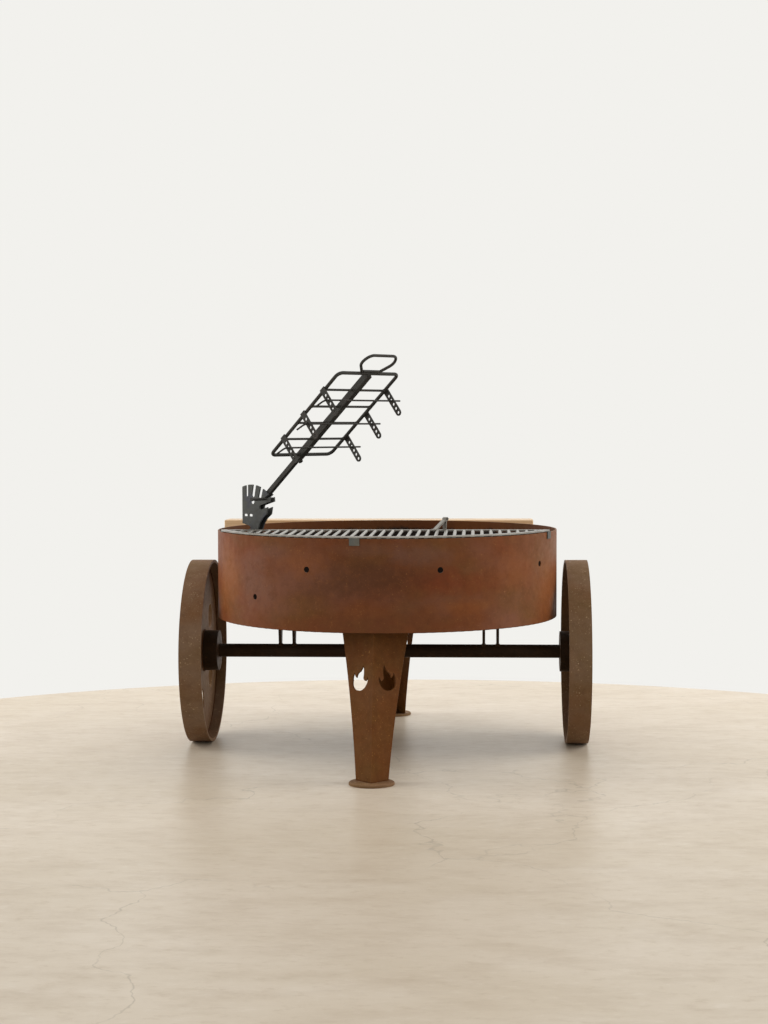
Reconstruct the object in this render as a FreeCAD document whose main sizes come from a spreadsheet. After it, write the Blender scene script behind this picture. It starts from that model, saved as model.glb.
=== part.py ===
import FreeCAD, Part
import math
import os

import Sketcher
from FreeCAD import Placement, Rotation, Vector

# Fire pit grill: a round steel drum on two legs and two big wheels, with a half-round
# cooking grate and a swivelling arm that carries a tilting roasting rack.
# Frame: origin on the floor under the middle of the whole object, +X to the right wheel,
# -Y to the cook, +Z up. Millimetres and degrees.

SIZES = {
    # drum
    "drum_radius": 600,
    "drum_height": 305,
    "drum_wall": 5,
    "rim_height": 776,
    "drum_floor_plate": 5,
    "vent_radius": 10,
    "vent_upper_drop": 103,
    "vent_lower_drop": 204,
    "vent_first_angle": -23.3,
    "vent_pitch_angle": 42.8,
    # wheels and axle
    "axle_drop": 142,
    "wheel_width": 78,
    "wheel_gap": 35,
    "wheel_band": 10,
    "web_plate": 5,
    "web_hole_radius": 45,
    "web_hole_inset": 9.75,
    "web_turn_angle": 18,
    "hub_radius": 72.5,
    "hub_wall": 8,
    "hub_end_plate": 10,
    "hub_sleeve_wall": 10,
    "hub_reach": 58,
    "hub_outer_reach": 26,
    "axle_radius": 24,
    "axle_bore_radius": 17,
    "axle_setback": 90,
    "running_gap": 0.05,
    "end_play": 0.3,
    "axle_washer_radius": 40,
    "axle_washer_plate": 6,
    "axle_screw_radius": 10,
    "axle_screw_length": 40,
    "axle_screw_head_radius": 16,
    "axle_screw_head_height": 12,
    # axle hangers
    "hanger_inner": 343,
    "hanger_spacing": 50,
    "hanger_plate": 10,
    "hanger_top_depth": 80,
    "hanger_foot_depth": 30,
    # legs
    "leg_offset": 17,
    "leg_top_half": 112,
    "leg_foot_half": 52.5,
    "leg_side_radius": 4600,
    "leg_plate": 6,
    "leg_crease_inset": 34,
    "leg_splay": 136,
    "foot_radius": 73.5,
    "foot_plate": 8,
    "foot_inset": 26,
    "flame_height": 85,
    "flame_width": 74,
    "flame_foot_drop": 190,
    "flame_from_crease": 61,
    # shelf board
    "board_length": 1203,
    "board_depth": 125,
    "board_thickness": 38,
    "board_offset": 65,
    "board_gap": 5,
    "board_edge_round": 3,
    "board_bracket_offset": 250,
    "board_bracket_plate": 6,
    "board_bracket_height": 110,
    "board_bracket_flange": 40,
    "board_screw_radius": 3,
    "board_screw_length": 30,
    "board_screw_head_radius": 7,
    "board_screw_head_height": 4,
    "screw_gap": 0.5,
    # cooking grate
    "grate_ring_width": 20,
    "grate_ring_plate": 5,
    "grate_inset": 1,
    "grate_rear_edge": 190,
    "grate_bar_radius": 6,
    "grate_bar_pitch": 30.5,
    "clip_width": 34,
    "clip_plate": 3,
    "clip_drop": 25,
    "clip_tongue": 14,
    "clip_middle_angle": -7.4,
    "clip_pitch_angle": 77.3,
    "rest_angle": -69.9,
    "grate_handle_place": 209,
    "grate_handle_turn_angle": 35,
    "grate_handle_foot": 14,
    "grate_handle_span": 40,
    "grate_handle_rise": 37,
    "grate_handle_strip": 3,
    "grate_handle_width": 20,
    "grate_handle_eye": 6.5,
    "grate_handle_eye_bore": 3.2,
    # holder
    "post_inset": 125,
    "post_back": 36,
    "pivot_rise": 69,
    "swivel_angle": -41.8,
    "tilt_angle": 39.1,
    "post_radius": 15,
    "socket_radius": 21,
    "socket_length": 170,
    "socket_top_drop": 12,
    "washer_radius": 24,
    "washer_plate": 9,
    "socket_bracket_plate": 8,
    "socket_bracket_half": 30,
    "socket_bracket_inset": 25,
    "comb_plate": 6,
    "cheek_plate": 5,
    "side_gap": 0.5,
    "comb_reach": 100,
    "comb_top_radius": 140,
    "comb_top_drop": 52,
    "comb_top_shift": 6,
    "pin_slot_width": 10.4,
    "comb_mouth_width": 16,
    "comb_hole_radius": 10.5,
    "comb_hole_rise": 28,
    "comb_window_length": 22,
    "comb_window_width": 8.6,
    "comb_window_drop": 22.4,
    "tang_half": 17,
    "tang_height": 38,
    "pivot_radius": 5,
    "pivot_head_radius": 9,
    "pivot_head_height": 4,
    "pin_radius": 5,
    "pin_distance": 78,
    "pin_front_reach": 64,
    "pin_rear_reach": 11,
    "pin_head_radius": 7,
    "pin_head_height": 4,
    # arm and roasting rack
    "arm_width": 16,
    "arm_eye_radius": 10,
    "seat_gap": 0.3,
    "spine_width": 22,
    "spine_gap": 0.1,
    "spine_end_plate": 4,
    "spine_overhang": 28,
    "rack_start": 313,
    "rack_length": 435,
    "rack_half_width": 141.4,
    "rack_rod_radius": 6,
    "rack_corner_radius": 20,
    "crossbar_radius": 4,
    "handle_rod_radius": 5,
    "handle_foot_half": 37,
    "handle_half": 79,
    "handle_rise": 86,
    "handle_bend_radius": 30,
    "strap_length": 113,
    "strap_width": 23,
    "strap_plate": 4,
    "strap_hole_radius": 5.3,
    "strap_hole_pitch": 18,
    "strap_first_hole": 29.5,
    "skewer_radius": 3,
    "skewer_right_reach": 191,
    "skewer_left_reach": 165,
    "skewer_tip": 35,
    "skewer_tip_angle": 65,
    "skewer_bend_radius": 20,
    # one overrun for every cut
    "overrun": 6,
}

VENT_ROWS = 3
VENT_GROUPS = 2
WEB_HOLES = 5
STRAP_HOLES = 5
SKEWER_HOLE = 2
CROSSBARS = 4
CLIPS = 2

# The holder plates' corners, as shares of the comb's reach from the pivot. The comb's
# first two corners are joined by its round top, the cheek's left edge is the tang's.
JAW_SHARES = [
    (0.90, 0.47),
    (0.92, 0.30),
    (0.80, 0.08),
    (0.75, -0.16),
    (0.54, -0.31),
    (0.37, -0.50),
]
FOOT_SHARES = [(0.27, -0.08), (-0.14, -0.61), (-0.55, -0.52)]
CHEEK_TOP_SHARES = [0.14, (0.34, 0.28), (0.60, 0.54), (0.74, 0.60)]
# The comb's slots: the middle of the slot's round end and the slot's half width, as shares
# of the comb's reach from the pivot, and the way the slot runs, in degrees from level.
SLOT_SHARES = [
    (-0.30, 0.503, 0.065, 90),
    (0.035, 0.51, 0.085, 78),
    (0.395, 0.454, 0.08, 73),
]
PIN_SLOT_RUN = 30
MOUTH_SHARE = (0.446, 0.075, 15.6)
# The windows lie left of the pivot at these shares of the comb's reach.
WINDOW_SHARES = [0.377, 0.105]

# A flame of three tongues: each arc's far end and the point it bows through, as shares of
# the flame's width (from its middle) and height (from its foot).
FLAME_START_SHARE = (0.02, 0.0)
FLAME_SHARES = [
    ((0.47, 0.36), (0.36, 0.10)),
    ((0.42, 0.66), (0.50, 0.51)),
    ((0.25, 0.47), (0.37, 0.55)),
    ((0.10, 0.72), (0.23, 0.62)),
    ((-0.03, 1.0), (0.01, 0.87)),
    ((-0.19, 0.52), (-0.15, 0.76)),
    ((-0.34, 0.40), (-0.27, 0.42)),
    ((-0.44, 0.60), (-0.42, 0.49)),
    ((-0.45, 0.24), (-0.50, 0.42)),
    ((0.02, 0.0), (-0.27, 0.05)),
]
# The shelf's screws: their rows as shares of the board's depth, and their place beside
# the gusset as a share of half the flange.
BOARD_SCREW_SHARES = [0.36, 0.66]
SCREW_OFFSET_SHARE = 0.6
# An arc wider than this share of its own diameter counts as a half circle.
HALF_CIRCLE_SHARE = 0.999
# The handle's lower rod lies welded on the top bar, sunk by a little of both radii.
HANDLE_SEAT_SHARE = 0.95
# Places along the rack, as shares of its length from the lower bar.
STRAP_SHARES = [0.218, 0.512, 0.797]

document = FreeCAD.newDocument("fire_pit_grill")
sheet = document.addObject("Spreadsheet::Sheet", "sizes")
for row, (name, value) in enumerate(SIZES.items(), start=1):
    sheet.set("A%d" % row, name)
    sheet.set("B%d" % row, str(value))
    sheet.setAlias("B%d" % row, name)
document.recompute()


class Size:
    """A size of the sheet, or one worked out from it: its value and its formula."""

    def __init__(self, value, formula):
        self.value = float(value)
        self.formula = formula

    def __add__(self, other):
        other = as_size(other)
        return Size(self.value + other.value, "(%s + %s)" % (self.formula, other.formula))

    def __sub__(self, other):
        other = as_size(other)
        return Size(self.value - other.value, "(%s - %s)" % (self.formula, other.formula))

    def __mul__(self, other):
        other = as_size(other)
        return Size(self.value * other.value, "(%s * %s)" % (self.formula, other.formula))

    def __truediv__(self, other):
        other = as_size(other)
        return Size(self.value / other.value, "(%s / %s)" % (self.formula, other.formula))

    def __neg__(self):
        return Size(-self.value, "(0 - %s)" % self.formula)

    __rmul__ = __mul__


def as_size(number):
    """Return a plain factor as a size; sizes pass through."""
    if isinstance(number, Size):
        return number
    return Size(number, "(%r)" % float(number))


def root(size):
    return Size(math.sqrt(size.value), "sqrt(%s)" % size.formula)


def cosine(angle):
    angle = as_size(angle)
    return Size(math.cos(math.radians(angle.value)), "cos(%s * 1 deg)" % angle.formula)


def sine(angle):
    angle = as_size(angle)
    return Size(math.sin(math.radians(angle.value)), "sin(%s * 1 deg)" % angle.formula)


def arcsine(size):
    size = as_size(size)
    return Size(math.degrees(math.asin(size.value)), "(asin(%s) / 1 deg)" % size.formula)


class Sheet:
    """Every size of the sheet as an attribute."""

    def __init__(self):
        for name in SIZES:
            setattr(self, name, Size(sheet.get(name), "sizes.%s" % name))


s = Sheet()
ZERO = as_size(0)

# Sizes that several pieces share.
drum_bottom = s.rim_height - s.drum_height
drum_inner = s.drum_radius - s.drum_wall
wheel_radius = drum_bottom - s.axle_drop
wheel_middle = s.drum_radius + s.wheel_gap + s.wheel_width / 2
web_radius = wheel_radius - s.wheel_band
web_hole_circle = (s.hub_radius + web_radius) / 2 - s.web_hole_inset
hub_outer_face = wheel_middle + s.hub_outer_reach
leg_crease_top = s.drum_radius - s.leg_crease_inset
leg_crease_foot = s.drum_radius + s.leg_splay
foot_middle = leg_crease_foot - s.foot_inset
flame_foot_rise = drum_bottom - s.flame_foot_drop
grate_outer = s.drum_radius - s.grate_inset
grate_inner = grate_outer - s.grate_ring_width
grate_bottom = s.rim_height + s.clip_plate
grate_top = grate_bottom + s.grate_ring_plate
grate_bar_height = grate_top - s.grate_bar_radius
arm_half = s.arm_width / 2
comb_face = arm_half + s.side_gap
comb_outer_face = comb_face + s.comb_plate
cheek_outer_face = comb_face + s.cheek_plate
post_left = s.drum_radius - s.post_inset
pivot_height = s.rim_height + s.pivot_rise
socket_top = s.rim_height - s.socket_top_drop
plate_foot = socket_top + s.washer_plate
comb_drop = pivot_height - plate_foot
spine_half = s.spine_width / 2
spine_bore_half = arm_half + s.spine_gap
rack_end = s.rack_start + s.rack_length
spine_end = rack_end - s.rack_rod_radius
arm_end = spine_end - s.spine_end_plate - s.seat_gap
foot_top = s.foot_plate
root_two = root(as_size(2))

SUB_PARTS = []


def keep(item, label):
    """Name a finished sub-part; its label is its file's name."""
    item.Label = label
    SUB_PARTS.append(item)
    return item


def bind(item, name, size):
    item.setExpression(name, as_size(size).formula)


def place(item, x=ZERO, y=ZERO, z=ZERO, rotation=None):
    """Put a sub-part at a place worked out from the sheet."""
    if rotation is not None:
        item.Placement = Placement(Vector(), rotation)
    bind(item, "Placement.Base.x", x)
    bind(item, "Placement.Base.y", y)
    bind(item, "Placement.Base.z", z)


def place_fixed(item, x, y, z, rotation=None):
    """The same for a piece whose shape part.py makes itself."""
    item.Placement = Placement(Vector(x.value, y.value, z.value), rotation or Rotation())


def new_body(name):
    return document.addObject("PartDesign::Body", name + "_body")


def plane(body, role):
    for feature in body.Origin.OriginFeatures:
        if feature.Role == role:
            return feature
    raise ValueError(role)


def new_sketch(body, name, role, rise=ZERO, turn=None):
    """An empty sketch on a plane of the body, lifted along the plane's normal."""
    sketch = body.newObject("Sketcher::SketchObject", name)
    sketch.AttachmentSupport = [(plane(body, role), "")]
    sketch.MapMode = "FlatFace"
    if turn is not None:
        sketch.AttachmentOffset = Placement(Vector(), Rotation(Vector(0, 1, 0), turn.value))
    if rise is not ZERO:
        bind(sketch, "AttachmentOffset.Base.z", rise)
    return sketch


def tie(kind, places, size):
    """A constraint with the formula that keeps its value on the sheet."""
    return Sketcher.Constraint(kind, *places, size.value), size.formula


def point_ties(geometry, end, point):
    """Tie one end of an edge to a place worked out from the sheet."""
    return [
        tie("DistanceX", (-1, 1, geometry, end), point[0]),
        tie("DistanceY", (-1, 1, geometry, end), point[1]),
    ]


def arc_tie(geometry, corner, following):
    """Set an arc's radius; a half circle is set by its middle instead."""
    radius = corner[2]
    run_x = following[0] - corner[0]
    run_y = following[1] - corner[1]
    if math.hypot(run_x.value, run_y.value) < 2 * radius.value * HALF_CIRCLE_SHARE:
        return tie("Radius", (geometry,), radius)
    middle = (-1, 1, geometry, 3)
    if abs(run_x.value) > abs(run_y.value):
        return tie("DistanceY", middle, corner[1] + run_y / 2)
    return tie("DistanceX", middle, corner[0] + run_x / 2)


def add_ties(sketch, ties):
    first = sketch.ConstraintCount
    sketch.addConstraint([constraint for constraint, formula in ties])
    for number, (constraint, formula) in enumerate(ties, start=first):
        if formula:
            sketch.setExpression("Constraints[%d]" % number, formula)


def sketch_arc(start, middle, end):
    """An arc through three points that runs anticlockwise, as sketches need it."""
    bowed = Part.Arc(start, middle, end).toShape().Curve
    if (middle - start).cross(end - middle).z < 0:
        start, end = end, start
    centre = bowed.Center
    angles = [math.atan2(point.y - centre.y, point.x - centre.x) for point in (start, end)]
    if angles[1] < angles[0]:
        angles[1] = angles[1] + 2 * math.pi
    circle = Part.Circle(centre, Vector(0, 0, 1), bowed.Radius)
    return Part.ArcOfCircle(circle, angles[0], angles[1])


def add_outline(sketch, corners):
    """A closed outline. A corner is (x, y), or (x, y, radius, middle) where the edge that
    leads on from it is an arc of that radius, bowed through about that middle."""
    first = sketch.GeometryCount
    count = len(corners)
    edges = []
    for index, corner in enumerate(corners):
        following = corners[(index + 1) % count]
        start = Vector(corner[0].value, corner[1].value)
        end = Vector(following[0].value, following[1].value)
        if len(corner) > 2:
            middle = Vector(corner[3][0].value, corner[3][1].value)
            edges.append(sketch_arc(start, middle, end))
        else:
            edges.append(Part.LineSegment(start, end))
    sketch.addGeometry(edges, False)
    starts = []
    for index, corner in enumerate(corners):
        edge = sketch.Geometry[first + index]
        start = Vector(corner[0].value, corner[1].value)
        forward = (edge.StartPoint - start).Length < (edge.EndPoint - start).Length
        starts.append(1 if forward else 2)
    ties = []
    for index, corner in enumerate(corners):
        before = (index - 1) % count
        ties.append((Sketcher.Constraint(
            "Coincident", first + before, 3 - starts[before],
            first + index, starts[index]), None))
        ties.extend(point_ties(first + index, starts[index], corner))
        if len(corner) > 2:
            ties.append(arc_tie(first + index, corner, corners[(index + 1) % count]))
    add_ties(sketch, ties)
    return sketch


def add_circle(sketch, centre, radius):
    geometry = sketch.addGeometry(Part.Circle(
        Vector(centre[0].value, centre[1].value), Vector(0, 0, 1), radius.value), False)
    ties = point_ties(geometry, 3, centre)
    ties.append(tie("Radius", (geometry,), radius))
    add_ties(sketch, ties)
    return sketch


def box_outline(x0, x1, y0, y1):
    return [(x0, y0), (x1, y0), (x1, y1), (x0, y1)]


def slot_outline(centre, half, run, length):
    """A straight slot with one round end at centre, running off at an angle."""
    along = (cosine(run), sine(run))
    across = (-sine(run) * half, cosine(run) * half)
    far = (centre[0] + along[0] * length, centre[1] + along[1] * length)
    back = (centre[0] - along[0] * half, centre[1] - along[1] * half)
    return [
        (centre[0] + across[0], centre[1] + across[1], half, back),
        (centre[0] - across[0], centre[1] - across[1]),
        (far[0] - across[0], far[1] - across[1]),
        (far[0] + across[0], far[1] + across[1]),
    ]


def window_outline(centre, half_length, half_width):
    """A level window with two round ends."""
    inner = half_length - half_width
    left, right = centre[0] - inner, centre[0] + inner
    low, high = centre[1] - half_width, centre[1] + half_width
    return [
        (left, low),
        (right, low, half_width, (right + half_width, centre[1])),
        (right, high),
        (left, high, half_width, (left - half_width, centre[1])),
    ]


def pad(body, sketch, length, both_ways=False, backward=False):
    feature = body.newObject("PartDesign::Pad", sketch.Name + "_pad")
    feature.Profile = sketch
    feature.Midplane = both_ways
    feature.Reversed = backward
    bind(feature, "Length", length)
    return feature


def pocket(body, sketch, length, both_ways=False, backward=False):
    """Cut a pocket, and check that it takes something away."""
    document.recompute()
    before = body.Shape.Volume
    feature = body.newObject("PartDesign::Pocket", sketch.Name + "_pocket")
    feature.Profile = sketch
    feature.Midplane = both_ways
    feature.Reversed = backward
    bind(feature, "Length", length)
    document.recompute()
    if not body.Shape.Volume < before:
        raise ValueError("cuts nothing: " + sketch.Name)
    return feature


def revolve(body, sketch, axis):
    feature = body.newObject("PartDesign::Revolution", sketch.Name + "_turned")
    feature.Profile = sketch
    feature.ReferenceAxis = (sketch, [axis])
    return feature


def pattern(body, features, role, count):
    """Repeat features round an axis of the body."""
    document.recompute()
    feature = body.newObject("PartDesign::PolarPattern", features[0].Name + "_pattern")
    feature.Originals = features
    feature.Axis = (plane(body, role), [""])
    feature.Angle = 360
    feature.Occurrences = count
    body.Tip = feature
    return feature


def turned_piece(label, corners, role="XZ_Plane", axis="V_Axis"):
    """A turned piece: an outline revolved round an axis of its sketch."""
    body = new_body(label)
    sketch = new_sketch(body, label + "_profile", role)
    add_outline(sketch, corners)
    revolve(body, sketch, axis)
    return keep(body, label)


def rod_shape(points, radius, bend):
    """A round rod bent along straight runs joined by tangent arcs."""
    edges = []
    cursor = points[0]
    for before, corner, after in zip(points, points[1:], points[2:]):
        way_in = (corner - before).normalize()
        way_out = (after - corner).normalize()
        half_turn = way_in.getAngle(way_out) / 2
        setback = bend * math.tan(half_turn)
        start = corner - way_in * setback
        end = corner + way_out * setback
        inward = (way_out - way_in).normalize()
        middle = corner + inward * (bend / math.cos(half_turn) - bend)
        edges.append(Part.LineSegment(cursor, start).toShape())
        edges.append(Part.Arc(start, middle, end).toShape())
        cursor = end
    edges.append(Part.LineSegment(cursor, points[-1]).toShape())
    path = Part.Wire(edges)
    section = Part.Wire([Part.Circle(points[0], points[1] - points[0], radius).toShape()])
    return path.makePipeShell([section], True, True)


def made_piece(label, shape):
    feature = document.addObject("Part::Feature", label)
    feature.Shape = shape
    return keep(feature, label)


def arm_frame():
    """The raised arm's own directions: x along the arm, y level to the right, z up."""
    swivel = Rotation(Vector(0, 0, 1), s.swivel_angle.value)
    return swivel.multiply(Rotation(Vector(0, 1, 0), -s.tilt_angle.value))


def plate_frame():
    """The holder's plates stand upright: sketch x away from the post, sketch y up."""
    swivel = Rotation(Vector(0, 0, 1), s.swivel_angle.value)
    return swivel


def at_pivot(item, rotation, fixed=False):
    if fixed:
        place_fixed(item, -post_left, s.post_back, pivot_height, rotation)
    else:
        place(item, -post_left, s.post_back, pivot_height, rotation)


# Drum

def make_drum_wall():
    """A rolled wall with vents: three in an upper row, one lower, on both sides."""
    body = new_body("drum_wall")
    sketch = new_sketch(body, "drum_wall_profile", "XZ_Plane")
    add_outline(sketch, box_outline(drum_inner, s.drum_radius, ZERO, s.drum_height))
    revolve(body, sketch, "V_Axis")
    places = [(s.vent_first_angle + s.vent_pitch_angle * step, s.vent_upper_drop)
              for step in range(VENT_ROWS)]
    places.append((s.vent_first_angle - s.vent_pitch_angle / 2, s.vent_lower_drop))
    vents = []
    for number, (angle, drop) in enumerate(places):
        vent = new_sketch(body, "vent_%d" % number, "XZ_Plane", turn=angle)
        add_circle(vent, (ZERO, s.drum_height - drop), s.vent_radius)
        vents.append(pocket(body, vent, s.drum_radius + s.overrun, backward=True))
    pattern(body, vents, "Z_Axis", VENT_GROUPS)
    place(body, z=drum_bottom)
    return keep(body, "drum_wall")


def make_drum_floor():
    floor_top = s.drum_floor_plate
    piece = turned_piece("drum_floor", box_outline(ZERO, drum_inner, ZERO, floor_top))
    place(piece, z=drum_bottom)


# Legs

def flame_shape(side):
    """The flame cut-out on one face of a leg, as a thick cutting tool about the flame's
    middle. Side is 1 on the right face and -1 on the left one, where it is mirrored."""
    width = s.flame_width.value * side
    height = s.flame_height.value

    def point(share):
        return Vector(share[0] * width, 0, (share[1] - 0.5) * height)

    edges = []
    cursor = point(FLAME_START_SHARE)
    for end_share, middle_share in FLAME_SHARES:
        end = point(end_share)
        edges.append(Part.Arc(cursor, point(middle_share), end).toShape())
        cursor = end
    reach = s.leg_plate.value + s.overrun.value
    face = Part.Face(Part.Wire(edges))
    tool = face.extrude(Vector(0, 2 * reach, 0))
    tool.translate(Vector(0, -reach, 0))
    return tool


def flame_tools():
    """Both flames, turned onto the leg's two leaning faces."""
    middle_rise = flame_foot_rise.value + s.flame_height.value / 2
    rise_share = (middle_rise - foot_top.value) / (drum_bottom.value - foot_top.value)
    lean = leg_crease_foot.value - leg_crease_top.value
    crease = leg_crease_foot.value - lean * rise_share
    face_lean = math.atan(lean / (drum_bottom.value - foot_top.value) / math.sqrt(2))
    from_crease = s.flame_from_crease.value / math.sqrt(2)
    tools = []
    for side in (1, -1):
        tool = flame_shape(side)
        turn = Rotation(Vector(0, 0, 1), side * 45)
        tilt = Rotation(Vector(1, 0, 0), -math.degrees(face_lean))
        tool.Placement = Placement(
            Vector(side * from_crease, from_crease - crease, middle_rise),
            turn.multiply(tilt)).multiply(tool.Placement)
        tools.append(tool)
    return Part.makeCompound(tools)


def leg_section(crease, half):
    """The folded plate cut level: a V with its fold outward."""
    back = s.leg_plate * root_two
    return [
        (ZERO, -crease),
        (half, half - crease),
        (half, half - crease + back),
        (ZERO, back - crease),
        (-half, half - crease + back),
        (-half, half - crease),
    ]


def make_leg(label, rotation):
    """One leg: a plate folded along its middle, leaning out, trimmed to a curved taper,
    with a flame cut out of each face."""
    half = s.leg_top_half + s.overrun
    body = new_body(label + "_blank")
    lower = new_sketch(body, label + "_lower", "XY_Plane", rise=foot_top)
    add_outline(lower, leg_section(leg_crease_foot, half))
    upper = new_sketch(body, label + "_upper", "XY_Plane", rise=drum_bottom)
    add_outline(upper, leg_section(leg_crease_top, half))
    loft = body.newObject("PartDesign::AdditiveLoft", label + "_fold")
    loft.Profile = lower
    loft.Sections = [upper]
    loft.Ruled = True
    sides = new_sketch(body, label + "_sides", "XZ_Plane")
    middle_rise = (foot_top + drum_bottom) / 2
    chord = (s.leg_top_half + s.leg_foot_half) / 2
    half_chord = (drum_bottom - foot_top) / 2
    bow = half_chord * half_chord / (s.leg_side_radius * 2)
    outside = half + s.overrun
    for side in (1, -1):
        add_outline(sides, [
            (side * s.leg_foot_half, foot_top, s.leg_side_radius,
             (side * (chord - bow), middle_rise)),
            (side * s.leg_top_half, drum_bottom),
            (side * outside, drum_bottom),
            (side * outside, foot_top),
        ])
    pocket(body, sides, leg_crease_foot * 2 + s.overrun, both_ways=True)
    flames = document.addObject("Part::Feature", label + "_flames")
    flames.Shape = flame_tools()
    leg = document.addObject("Part::Cut", label + "_cut")
    leg.Base = body
    leg.Tool = flames
    place(leg, -s.leg_offset, rotation=rotation)
    return keep(leg, label)


def make_foot(label, side):
    piece = turned_piece(label, [
        (ZERO, ZERO),
        (s.foot_radius, ZERO),
        (s.foot_radius, s.foot_plate * 0.7),
        (s.foot_radius - s.foot_plate * 0.3, s.foot_plate),
        (ZERO, s.foot_plate),
    ])
    place(piece, -s.leg_offset, side * foot_middle)


# Wheels and axle

def make_wheel(name, side):
    """A wheel of three welded pieces: band, web plate with round windows, and hub."""
    half = s.wheel_width / 2
    band = turned_piece(name + "_wheel_band", box_outline(
        -half, half, web_radius, wheel_radius), axis="H_Axis")
    place(band, side * wheel_middle, s.axle_setback, wheel_radius)

    web = new_body(name + "_wheel_web")
    disc = new_sketch(web, name + "_web_disc", "YZ_Plane")
    add_circle(disc, (ZERO, ZERO), web_radius)
    add_circle(disc, (ZERO, ZERO), s.axle_radius + s.running_gap + s.hub_sleeve_wall)
    pad(web, disc, s.web_plate, both_ways=True)
    window = new_sketch(web, name + "_web_window", "YZ_Plane")
    add_circle(window, (-sine(s.web_turn_angle) * web_hole_circle,
                        cosine(s.web_turn_angle) * web_hole_circle), s.web_hole_radius)
    cut = pocket(web, window, s.web_plate + s.overrun, both_ways=True)
    pattern(web, [cut], "X_Axis", WEB_HOLES)
    place(web, side * wheel_middle, s.axle_setback, wheel_radius)
    keep(web, name + "_wheel_web")

    bore = s.axle_radius + s.running_gap
    sleeve = bore + s.hub_sleeve_wall
    web_face = s.web_plate / 2
    shell = s.hub_radius - s.hub_wall
    hub = turned_piece(name + "_wheel_hub", [
        (side * -s.hub_reach, bore),
        (side * s.hub_outer_reach, bore),
        (side * s.hub_outer_reach, sleeve),
        (side * (s.hub_end_plate - s.hub_reach), sleeve),
        (side * (s.hub_end_plate - s.hub_reach), shell),
        (side * -web_face, shell),
        (side * -web_face, s.hub_radius),
        (side * -s.hub_reach, s.hub_radius),
    ], axis="H_Axis")
    place(hub, side * wheel_middle, s.axle_setback, wheel_radius)


def make_axle():
    """A tube through both hubs, closed at each end by a washer on a screw."""
    reach = hub_outer_face + s.end_play
    axle = turned_piece("axle", box_outline(-reach, reach, s.axle_bore_radius, s.axle_radius),
                        axis="H_Axis")
    place(axle, y=s.axle_setback, z=wheel_radius)
    for name, side in (("left", -1), ("right", 1)):
        washer = turned_piece(name + "_axle_washer", box_outline(
            ZERO, side * s.axle_washer_plate, s.axle_screw_radius, s.axle_washer_radius),
            axis="H_Axis")
        place(washer, side * reach, s.axle_setback, wheel_radius)
        screw = turned_piece(name + "_axle_screw", [
            (side * -s.axle_screw_length, ZERO),
            (side * -s.axle_screw_length, s.axle_bore_radius),
            (ZERO, s.axle_bore_radius),
            (ZERO, s.axle_screw_radius),
            (side * s.axle_washer_plate, s.axle_screw_radius),
            (side * s.axle_washer_plate, s.axle_screw_head_radius),
            (side * (s.axle_washer_plate + s.axle_screw_head_height),
             s.axle_screw_head_radius),
            (side * (s.axle_washer_plate + s.axle_screw_head_height), ZERO),
        ], axis="H_Axis")
        place(screw, side * reach, s.axle_setback, wheel_radius)


def make_hangers():
    """Four plates that hang the axle from the drum's floor, two by two."""
    foot_half = s.hanger_foot_depth / 2
    top_half = s.hanger_top_depth / 2
    saddle_rise = root(s.axle_radius * s.axle_radius - foot_half * foot_half)
    number = 0
    for side in (-1, 1):
        for step in range(2):
            number = number + 1
            label = "axle_hanger_%d" % number
            body = new_body(label)
            sketch = new_sketch(body, label + "_outline", "YZ_Plane")
            add_outline(sketch, [
                (-foot_half, saddle_rise, s.axle_radius, (ZERO, s.axle_radius)),
                (foot_half, saddle_rise),
                (top_half, s.axle_drop),
                (-top_half, s.axle_drop),
            ])
            pad(body, sketch, s.hanger_plate, both_ways=True)
            place(body, side * (s.hanger_inner + s.hanger_spacing * step),
                  s.axle_setback, wheel_radius)
            keep(body, label)


# Shelf board

def make_board():
    body = new_body("wooden_board")
    sketch = new_sketch(body, "wooden_board_outline", "XY_Plane")
    add_outline(sketch, box_outline(
        -s.board_length / 2, s.board_length / 2, ZERO, s.board_depth))
    blank = pad(body, sketch, s.board_thickness, backward=True)
    document.recompute()
    eased = body.newObject("PartDesign::Fillet", "wooden_board_edges")
    count = len(blank.Shape.Edges)
    eased.Base = (blank, ["Edge%d" % number for number in range(1, count + 1)])
    bind(eased, "Radius", s.board_edge_round)
    place(body, -s.board_offset, s.drum_radius + s.board_gap, s.rim_height)
    keep(body, "wooden_board")


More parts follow.
